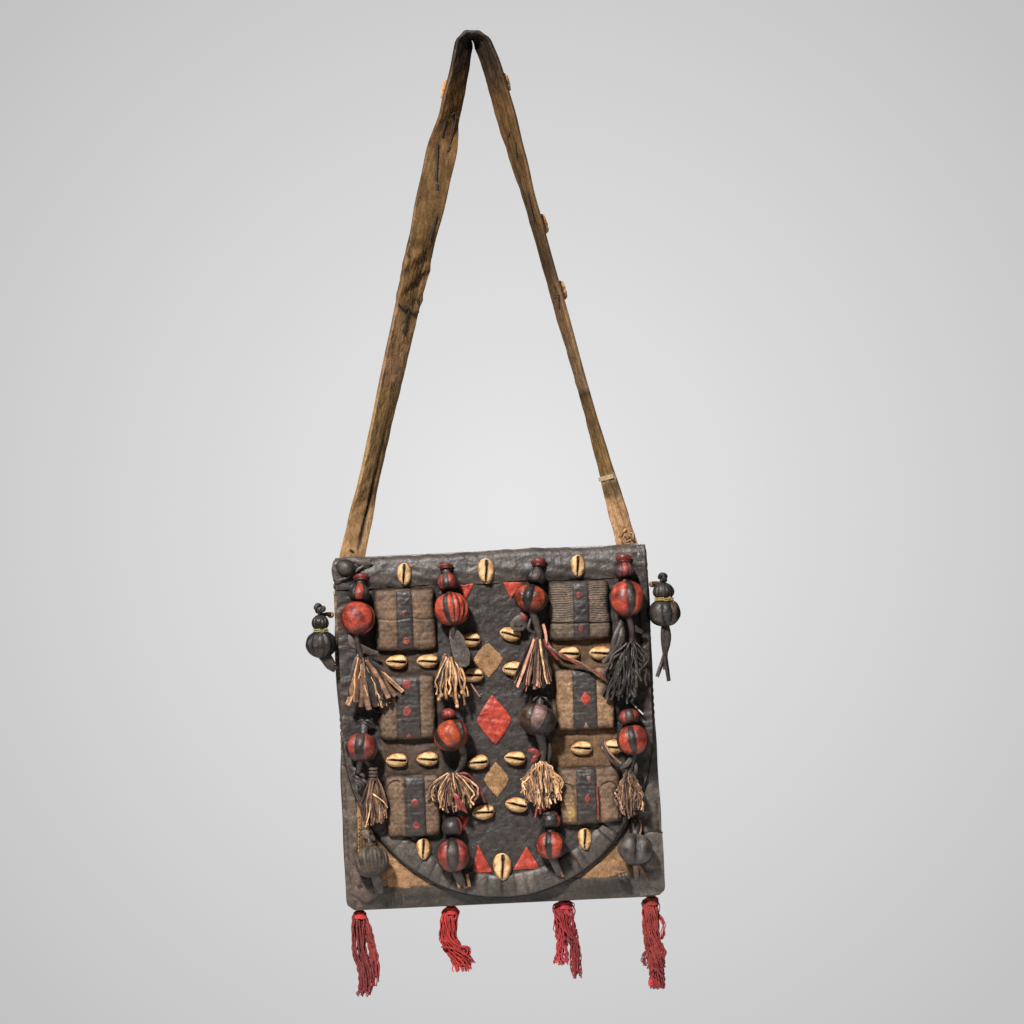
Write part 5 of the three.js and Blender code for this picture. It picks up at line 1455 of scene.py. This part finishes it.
# What hangs from the ball; the loop at the top (lift, width, height, shade) or the head (radius, half
# height, taper); bulbs as x, drop, radius, half height; start angle and gores of the ball and of the bead
PENDANTS = {
    "pendant_outer_left_upper": {
        "hang": hang_outer_left_upper, "loop": (0.4, 13, 5.6, 0.7),
        "bulbs": [(-113, 14.5, 5, 4), (-114, 28, 8, 8), (-117.5, 50, 13.6, 14)],
        "ball": (-66, [(132, R * 0.92), (7, K), (60, R), (7, K), (70, R), (7, K), (70, R), (7, K)]),
        "bead": (-110, [(84, K), (52, R), (84, K), (50, P), (60, K), (30, P)]),
    },
    "pendant_outer_left_lower": {
        "hang": hang_outer_left_lower,
        "bulbs": [(-116, 144, 5, 5), (-119, 163, 12.6, 12)],
        "ball": (-74, [(46, P), (36, D), (54, P), (36, D), (50, P), (40, D), (54, P), (44, D)]),
    },
    "pendant_inner_left_upper": {
        "hang": hang_inner_left_upper, "loop": (2.0, 12, 4.6, 0.7),
        "bulbs": [(-38.5, 10, 5, 3.6), (-39, 22, 8, 7.6), (-35, 46, 13.6, 14)],
        "ball": (-88, [(60, R), (18, D), (17, R * 1.2), (5, K), (17, R * 1.2), (5, K), (17, R * 1.2),
                       (5, K), (20, R * 1.1), (8, K), (60, P), (30, D), (68, R), (30, D)]),
        "bead": (-80, [(50, P), (36, GREY), (50, P), (44, D), (50, P), (40, D), (50, P), (40, D)]),
    },
    "pendant_inner_left_middle": {
        "hang": hang_inner_left_middle,
        "bulbs": [(-42.5, 138.5, 6, 6), (-40.5, 156, 14, 12.5)],
        "ball": (-92, [(26, P), (22, K), (84, O * 0.94), (20, K), (30, P), (20, K), (50, R), (30, K),
                       (48, R), (30, K)]),
        "lean": -0.35,
    },
    "pendant_inner_left_lower": {
        "hang": hang_inner_left_lower, "head": (9.4, 9.2, 0.12),
        "bulbs": [(-43.5, 236, 8.2, 8.4), (-44, 260.5, 13, 14)],
        "ball": (-74, [(52, P), (44, D), (52, P), (40, D), (50, R), (40, D), (46, P), (36, D)]),
        "bead": (-60, [(110, K), (50, P), (70, K), (60, D), (70, K)]),
    },
    "pendant_inner_right_upper": {
        "hang": hang_inner_right_upper, "loop": (2.0, 12, 7, 0.75),
        "bulbs": [(42.5, 10.5, 5, 3.2), (40.5, 21, 7.5, 7), (34.5, 40, 13.2, 11.2)],
        "ball": (-84, [(52, O), (36, K), (56, O), (36, K), (50, R), (38, K), (54, R), (38, K)]),
        "bead": (-30, [(60, GREY), (70, K), (60, D), (60, K), (60, D), (50, K)]),
    },
    "pendant_inner_right_middle": {
        "hang": hang_inner_right_middle,
        "bulbs": [(38.5, 130, 5, 4), (35.5, 146, 14.6, 12.5)],
        "ball": (-100, [(70, BROWN * 0.8), (52, W), (60, K), (60, BROWN), (60, K), (58, BROWN * 0.8)]),
        "lean": 0.2,
    },
    "pendant_inner_right_lower": {
        "hang": hang_inner_right_lower, "head": (8.6, 8.4, 0.12),
        "bulbs": [(42.5, 234, 7.4, 7.4), (42, 256, 11.8, 11.6)],
        "ball": (-84, [(58, R), (26, K), (54, R * 1.05), (38, K), (54, P), (40, K), (50, P), (40, K)]),
        "bead": (-50, [(100, K), (60, P), (60, K), (80, D), (60, K)]),
    },
    "pendant_outer_right_upper": {
        "hang": hang_outer_right_upper, "loop": (0.6, 13, 7.4, 0.75),
        "bulbs": [(117, 9.5, 5, 3.4), (116.5, 19.5, 7.6, 7.2), (118, 44, 13.6, 15)],
        "ball": (-76, [(80, R * 1.35), (27, D), (50, R * 1.35), (30, D), (58, R), (28, D), (57, R),
                       (30, D)]),
        "bead": (-90, [(70, lin(106, 66, 74)), (40, P), (70, lin(96, 62, 70)), (60, K), (60, P), (60, K)]),
    },
    "pendant_outer_right_lower": {
        "hang": hang_outer_right_lower, "head": (9.8, 7.4, 0.0),
        "bulbs": [(115, 147.5, 9, 6.2), (117.5, 167.5, 12.6, 12.6)],
        "ball": (-70, [(54, R), (26, D), (58, R), (34, D), (54, P), (34, D), (58, P), (42, D)]),
        "bead": (-70, [(50, P), (46, GREY), (50, P), (60, K), (50, P), (104, K)]),
    },
    "pendant_low_left": {
        "hang": hang_low_left,
        "bulbs": [(-117, 241, 4.5, 4.5), (-115, 263, 13.5, 13)], "face": FACE,
        "ball": (-4, [(15, lin(100, 87, 72)), (15, lin(88, 76, 63))] * 12),
        "pinch": 0.06, "seam": 0.6, "skin": IN_DRY,
    },
    "pendant_low_right": {
        "hang": hang_low_right,
        "bulbs": [(117, 241, 4.5, 4.5), (115, 263, 13.5, 13)], "face": FACE,
        "ball": (-116, [(120, lin(80, 72, 66)), (120, lin(86, 78, 72)), (120, lin(80, 72, 66))]),
        "pinch": 0.34, "valley": 17.0, "seam": 0.5, "skin": IN_SMOOTH,
    },
}


def pendant_axis(bulbs, face):
    """Middles of the first bulb and of the ball, which leans out just clear of the face."""
    (x0, d0, r0, _), (x1, d1, r1, _) = bulbs[0], bulbs[-1]
    near, far = r0 + GAP, r1 + GAP
    for _, drop, radius, _ in bulbs[1:-1]:
        far = max(far, near + (radius + GAP - near) / ((drop - d0) / (d1 - d0)))
    return np.array([x0, face - near, -d0]), np.array([x1, face - far, -d1])


def make_pendants():
    """Stuffed pendants of the flap and the front panel, then those at the side seams."""
    for name, spec in PENDANTS.items():
        skin = Skin()
        face = spec.get("face", FLAP_FACE)
        bulbs = spec["bulbs"]
        seat, middle = pendant_axis(bulbs, face)
        axis = unit(seat - middle)
        tilted = unit(axis + np.array([spec.get("lean", 0.0), 0, 0]))
        _, _, radius, tall = bulbs[-1]
        start, gores = spec["ball"]
        stuffed = ball(middle + FRONT, tilted, radius * PLUMP, tall * PLUMP_TALL, gores, start,
                       spec.get("pinch", 0.075), seam=spec.get("seam", 0.5), valley=spec.get("valley", 5.0))
        skin.add(stuffed, None, spec.get("skin", IN_PAINTED))
        for _, drop, r, h in bulbs[1:-1]:
            at = seat + (middle - seat) * ((drop - bulbs[0][1]) / (bulbs[-1][1] - bulbs[0][1]))
            start, gores = spec["bead"]
            skin.add(ball(at + FRONT, axis, r * BEAD_PLUMP, h * BEAD_TALL, gores, start, 0.07, 14, 0.2),
                     None, IN_PAINTED)
        strand(skin, [seat, (seat + middle) / 2, middle + axis * tall * 0.8], 8, 7, K, IN_SMOOTH, 2, 10)
        if "loop" in spec:
            lift, width, height, shade = spec["loop"]
            crown(skin, seat + [0, -1, lift], width, height, BALL_DEEP * shade)
        if "head" in spec:
            start, gores = spec["bead"]
            r, h, taper = spec["head"]
            skin.add(ball(seat + FRONT, axis, r, h, gores, start, 0.07, 14, taper), None, IN_PAINTED)
        spec["hang"](skin, seat, middle, middle - axis * tall)
        piece = skin.build("hung_" + name, name, "red_ball_leather", LEATHERS, [name])
    for name, spec in SIDE_PENDANTS.items():
        make_side_pendant(name, spec)


def make_side_pendant(name, spec):
    """Dark pendant tied to a side seam, with a knotted head and a bound neck."""
    skin = Skin()
    side = spec["side"]
    x = side * (HALF + 12)
    (d0, r0, h0), (d1, r1, h1), (d2, r2, h2) = spec["bulbs"]
    rng = np.random.default_rng(220 + side)
    for k in range(14):
        at = np.array([x, SIDE_Y, -d0]) + unit(rng.normal(size=3)) * r0 * 0.55
        gores = [(60, K * SIDE_SHADE), (60, D * SIDE_SHADE)] * 3
        skin.add(ball(at, UP, r0 * 0.4, h0 * 0.5, gores, 30 * k, 0.1, 8), None, IN_SMOOTH)
    gores = [(24, K * SIDE_SHADE), (21, D * SIDE_SHADE)] * 8
    skin.add(ball((x, SIDE_Y, -d1), UP, r1, h1, gores, 10, 0.08, 12, 0.12), None, IN_SMOOTH)
    start, gores = spec["ball"]
    gores = [(width, tint * SIDE_SHADE) for width, tint in gores]
    skin.add(ball((x, SIDE_Y, -d2), UP, r2 * SIDE_PLUMP, h2 * SIDE_TALL, gores, start, 0.1), None, IN_SMOOTH)
    neck = (d1 + h1 + d2 - h2) / 2
    stem = spline([(x, SIDE_Y, -d1), (x, SIDE_Y, -neck), (x, SIDE_Y, -d2)], 8)
    skin.add(sweep(stem, r1 * 1.6, r1 * 1.6), K, IN_SMOOTH)
    for turn in (0.0, 1.5):
        wrap_cord(skin, np.array([x, SIDE_Y, -neck - 1.0 + turn]), r1 * 0.86, 1, 1.15, spec["cord"],
                  IN_YARN, 0.9)
    near = SIDE_Y - r1
    end = [(x + 3, near, -neck), (x + 5, near - 1, -neck + 2), (x + 7, near, -neck - 1)]
    strand(skin, end, 1.3, 1.2, spec["cord"], IN_YARN)
    tie = -spec["tie"]
    seat = np.array([side * (HALF + 1.8), SIDE_Y + 11.6, tie])
    strand(skin, [(x, SIDE_Y, tie), (x - side * 7, SIDE_Y + 5, tie + 1), seat], 4, 3.2, BROWN, IN_DRY)
    skin.add(ball(seat + [side * 1.2, -2, 0], UP, 3, 2.8, [(60, STRIP_TAN)] * 6, 0, 0.08, 8), None, IN_DRY)
    low = -d2 - h2 + 2
    if side < 0:
        strand(skin, [(x, SIDE_Y, low + 3), (x + 4, SIDE_Y, low - 3), (x + 8, SIDE_Y + 1, low - 10)], 12, 8,
               BALL_DARK, IN_SMOOTH)
        strand(skin, [(x + 3, SIDE_Y, low - 4), (x + 6, SIDE_Y, low - 9), (x + 11, SIDE_Y + 2, low - 13)],
               8, 6, BALL_BLACK, IN_SMOOTH)
    else:
        for k, end in enumerate([(-9, -46), (-2, -40), (1, -50)]):
            tail = [(x, SIDE_Y, low + 3), (x + (1 - k) * 2, SIDE_Y - k, low - 16),
                    (x + end[0], SIDE_Y, low + end[1])]
            strand(skin, tail, 5.4, 3.4, [BLACK_WORN, BALL_DARK, BALL_BLACK][k], IN_SMOOTH,
                   turn=np.linspace(0, 1.5, 12), tip=1)
    piece = skin.build("hung_" + name, name, "dark_ball_leather", LEATHERS, [name])


# Yarn tassels: x, then hanks: middle points (x, y, drop below the seam), radius, strands, twist, tint
YARN_TOP = -HEIGHT - 0.6
YARN_TASSELS = {
    "yarn_tassel_1": (-128, [
        ([(0, 0, 0), (-1.5, 0, 8), (-2.5, 0, 34), (1, 0, 52), (2, 0, 66), (-1, 0, 78)], 6.6, 70, 1.2,
         lin(134, 48, 46)),
        ([(2, 1, 4), (7, 1, 26), (10, 1, 44), (10, 0, 70)], 3.6, 30, 0.8, lin(150, 54, 50)),
    ]),
    "yarn_tassel_2": (-48.5, [
        ([(0, 0, 0), (-1.5, 0, 9), (-4, 0, 26), (0, 0, 38), (6, 0, 48), (8, 0, 60)], 8.0, 84, 2.4,
         lin(206, 54, 46)),
        ([(-7, -3, 36), (2, -4, 38), (12, -4, 46), (17, -3, 52)], 4.0, 28, 1.4, lin(190, 46, 42)),
        ([(2, -2, 40), (9, -5, 36), (13, -3, 42), (5, -4, 50)], 3.0, 18, 1.0, lin(200, 56, 50)),
    ]),
    "yarn_tassel_3": (51.5, [
        ([(0, 0, 0), (-1, 0, 9), (-1, 0, 24), (0, 0, 36)], 9.2, 84, 2.0, lin(184, 52, 58)),
        ([(-3, 0, 28), (-4, 0, 44), (-3, 0, 58)], 5.0, 40, 1.5, lin(194, 60, 66)),
        ([(5, 0, 26), (7, 0, 44), (7.5, 0, 71)], 4.8, 40, 0.5, lin(160, 52, 54)),
        ([(-6, 0, 44), (-9, 0, 50), (-11, 0, 56)], 1.8, 8, 0.4, lin(190, 64, 68)),
    ]),
    "yarn_tassel_4": (128, [
        ([(0, 0, 0), (-1, 0, 9), (-1.5, 0, 34), (1, 0, 54), (1, 0, 68)], 7.6, 84, 3.2, lin(168, 58, 50)),
        ([(1, 0, 58), (2, 0, 70), (2, 0, 83)], 6.8, 64, 1.6, lin(158, 50, 48)),
        ([(5, 0, 16), (9.5, 0, 26), (8, 0, 36), (5, 0, 40)], 1.6, 6, 0.5, lin(176, 62, 54)),
        ([(-4, 0, 44), (-9, 0, 54), (-8, 0, 62)], 2.0, 9, 0.5, lin(132, 46, 44)),
        ([(7, 0, 42), (9, 0, 50), (7, 0, 60), (9, 0, 64)], 1.8, 8, 0.5, lin(142, 48, 46)),
    ]),
}


def make_yarn_tassels():
    """Tassels of twisted yarn under the bottom seam."""
    for k, (name, (x, hanks)) in enumerate(YARN_TASSELS.items()):
        skin = Skin()
        rng = np.random.default_rng(300 + k)
        for middles, radius, count, twist, tint in hanks:
            length = 12 + int(middles[-1][2] - middles[0][2]) // 2
            line = spline(middles, length) * [1, 1, -1] + [x, 0, YARN_TOP]
            t = np.linspace(0, 1, length)
            from_seam = middles[0][2] == 0
            grows = 0.42 + 0.58 * smooth(t, 0, 0.16) if from_seam else np.ones(length)
            deep = 0.1 + 0.9 * smooth(YARN_TOP - line[:, 2], 3, 14) if from_seam else np.ones(length)
            for _ in range(count):
                r = radius * math.sqrt(rng.uniform(0.02, 1))
                turn = rng.uniform(0, 2 * np.pi) + twist * t
                turn = turn + 0.25 * np.sin(rng.uniform(4, 9) * t + rng.uniform(0, 6))
                crimp = 0.5 * np.sin(rng.uniform(0.7, 1.3) * length * t + rng.uniform(0, 6))
                sway = 0.5 * np.sin(rng.uniform(6, 16) * t + rng.uniform(0, 6))
                reach = (r * grows + sway + crimp)[:, None]
                run = line + reach * np.stack([np.cos(turn), np.sin(turn) * deep, 0 * turn], 1)
                run[:, 0] += 0.4 * np.roll(crimp, 2)
                end = int(length * rng.uniform(0.86, 1))
                thick = rng.uniform(1.0, 1.5)
                skin.add(sweep(run[:end], thick, thick, FRONT, 4), tint * rng.uniform(0.6, 1.15), 0)
        bright = lin(226, 62, 58) if k == 0 else hanks[0][4] * 1.15
        for j in range(4):
            neck = np.array([x, 0, YARN_TOP - 3.4 - 1.4 * j])
            wrap_cord(skin, neck, 3.4 + 0.5 * j, 1, 1.9, bright, 0, 0.6)
        if k == 3:
            bud = ball((x - 4, -4, YARN_TOP - 76), UP, 2.6, 4, [(60, lin(226, 58, 56))] * 6, 0, 0.08, 8)
            skin.add(bud)
        skin.build("strands_" + name, name, "red_yarn", [YARN], [name])


def make_camera():
    """Long lens straight at the front, rolled as the bag hangs in the photograph."""
    view_width, distance, roll = 0.896, 4.0, 2.7
    camera = bpy.data.cameras.new("camera")
    camera.sensor_width = 36
    camera.lens = 36 * distance / view_width
    camera.clip_end = 50
    made = bpy.data.objects.new("camera", camera)
    made.location = (0.0165, FLAP_FACE / 1000 - distance, -0.4189)
    made.rotation_euler = (math.pi / 2, math.radians(roll), 0)
    bpy.context.scene.collection.objects.link(made)
    bpy.context.scene.camera = made


def area_light(name, place, target, size, power):
    """Square lamp at a place, turned to a target."""
    lamp = bpy.data.lights.new(name, "AREA")
    lamp.size = size
    lamp.energy = power
    made = bpy.data.objects.new(name, lamp)
    made.location = place
    way = Vector(target) - Vector(place)
    made.rotation_euler = way.to_track_quat("-Z", "Y").to_euler()
    bpy.context.scene.collection.objects.link(made)


def make_stage():
    """Studio lamps and a pale floor below the hanging bag."""
    middle = (0, 0, -0.5)
    area_light("key", (-1.2, -3.0, 2.35), middle, 0.5, 330)
    area_light("fill", (1.8, -1.8, -0.2), middle, 1.6, 3)
    area_light("rear", (0.5, 2.4, 0.6), middle, 1.4, 30)
    floor, level, thick = Skin(), -545, 6
    ring = np.linspace(0, 2 * np.pi, 64, endpoint=False)
    rings = np.array([[(r * math.cos(a), r * math.sin(a), z) for a in ring]
                      for r, z in ((32.5, level), (390, level), (650, level), (650, level - thick))])
    floor.add(loft(rings), lin(226, 226, 226))
    stone = bpy.data.materials.new("floor")
    n = Nodes(stone)
    n.colour(n.blend("MULTIPLY", 1.0, n.tint(), n.spread(n.noise(9, 3), 0.3, 0.7, 0.96, 1)))
    n.shader.inputs["Roughness"].default_value = 0.9
    made = bpy.data.objects.new("floor", floor.mesh("floor", [stone]))
    bpy.context.scene.collection.objects.link(made)


def make_background():
    """Soft light from all round; the camera sees a pale grey that darkens outwards."""
    world = bpy.data.worlds.new("studio")
    bpy.context.scene.world = world
    world.use_nodes = True
    tree = world.node_tree
    tree.nodes.clear()
    add = tree.nodes.new
    soft, pale = add("ShaderNodeBackground"), add("ShaderNodeBackground")
    soft.inputs["Color"].default_value = (1, 0.98, 0.95, 1)
    soft.inputs["Strength"].default_value = 0.055
    place, length, ramp = add("ShaderNodeTexCoord"), add("ShaderNodeVectorMath"), add("ShaderNodeValToRGB")
    flatten = add("ShaderNodeVectorMath")
    flatten.operation = "MULTIPLY"
    flatten.inputs[1].default_value = (1, 0, 1)
    length.operation = "LENGTH"
    ramp.color_ramp.elements[0].color = (*lin(232, 232, 232), 1)
    ramp.color_ramp.elements[1].color = (*lin(190, 190, 190), 1)
    ramp.color_ramp.elements[1].position = 0.17
    chooser, rays, out = add("ShaderNodeMixShader"), add("ShaderNodeLightPath"), add("ShaderNodeOutputWorld")
    for a, b in (
        (place.outputs["Generated"], flatten.inputs[0]), (flatten.outputs[0], length.inputs[0]),
        (length.outputs["Value"], ramp.inputs["Fac"]), (ramp.outputs["Color"], pale.inputs["Color"]),
        (rays.outputs["Is Camera Ray"], chooser.inputs["Fac"]), (soft.outputs[0], chooser.inputs[1]),
        (pale.outputs[0], chooser.inputs[2]), (chooser.outputs[0], out.inputs["Surface"]),
    ):
        tree.links.new(a, b)
    bpy.context.scene.view_settings.view_transform = "Standard"


make_camera()
make_stage()
make_background()
make_pouch()
make_front_trim()
make_strap()
make_cowries()
make_flap()
make_packets()
make_pendants()
make_yarn_tassels()
bpy.context.view_layer.update()
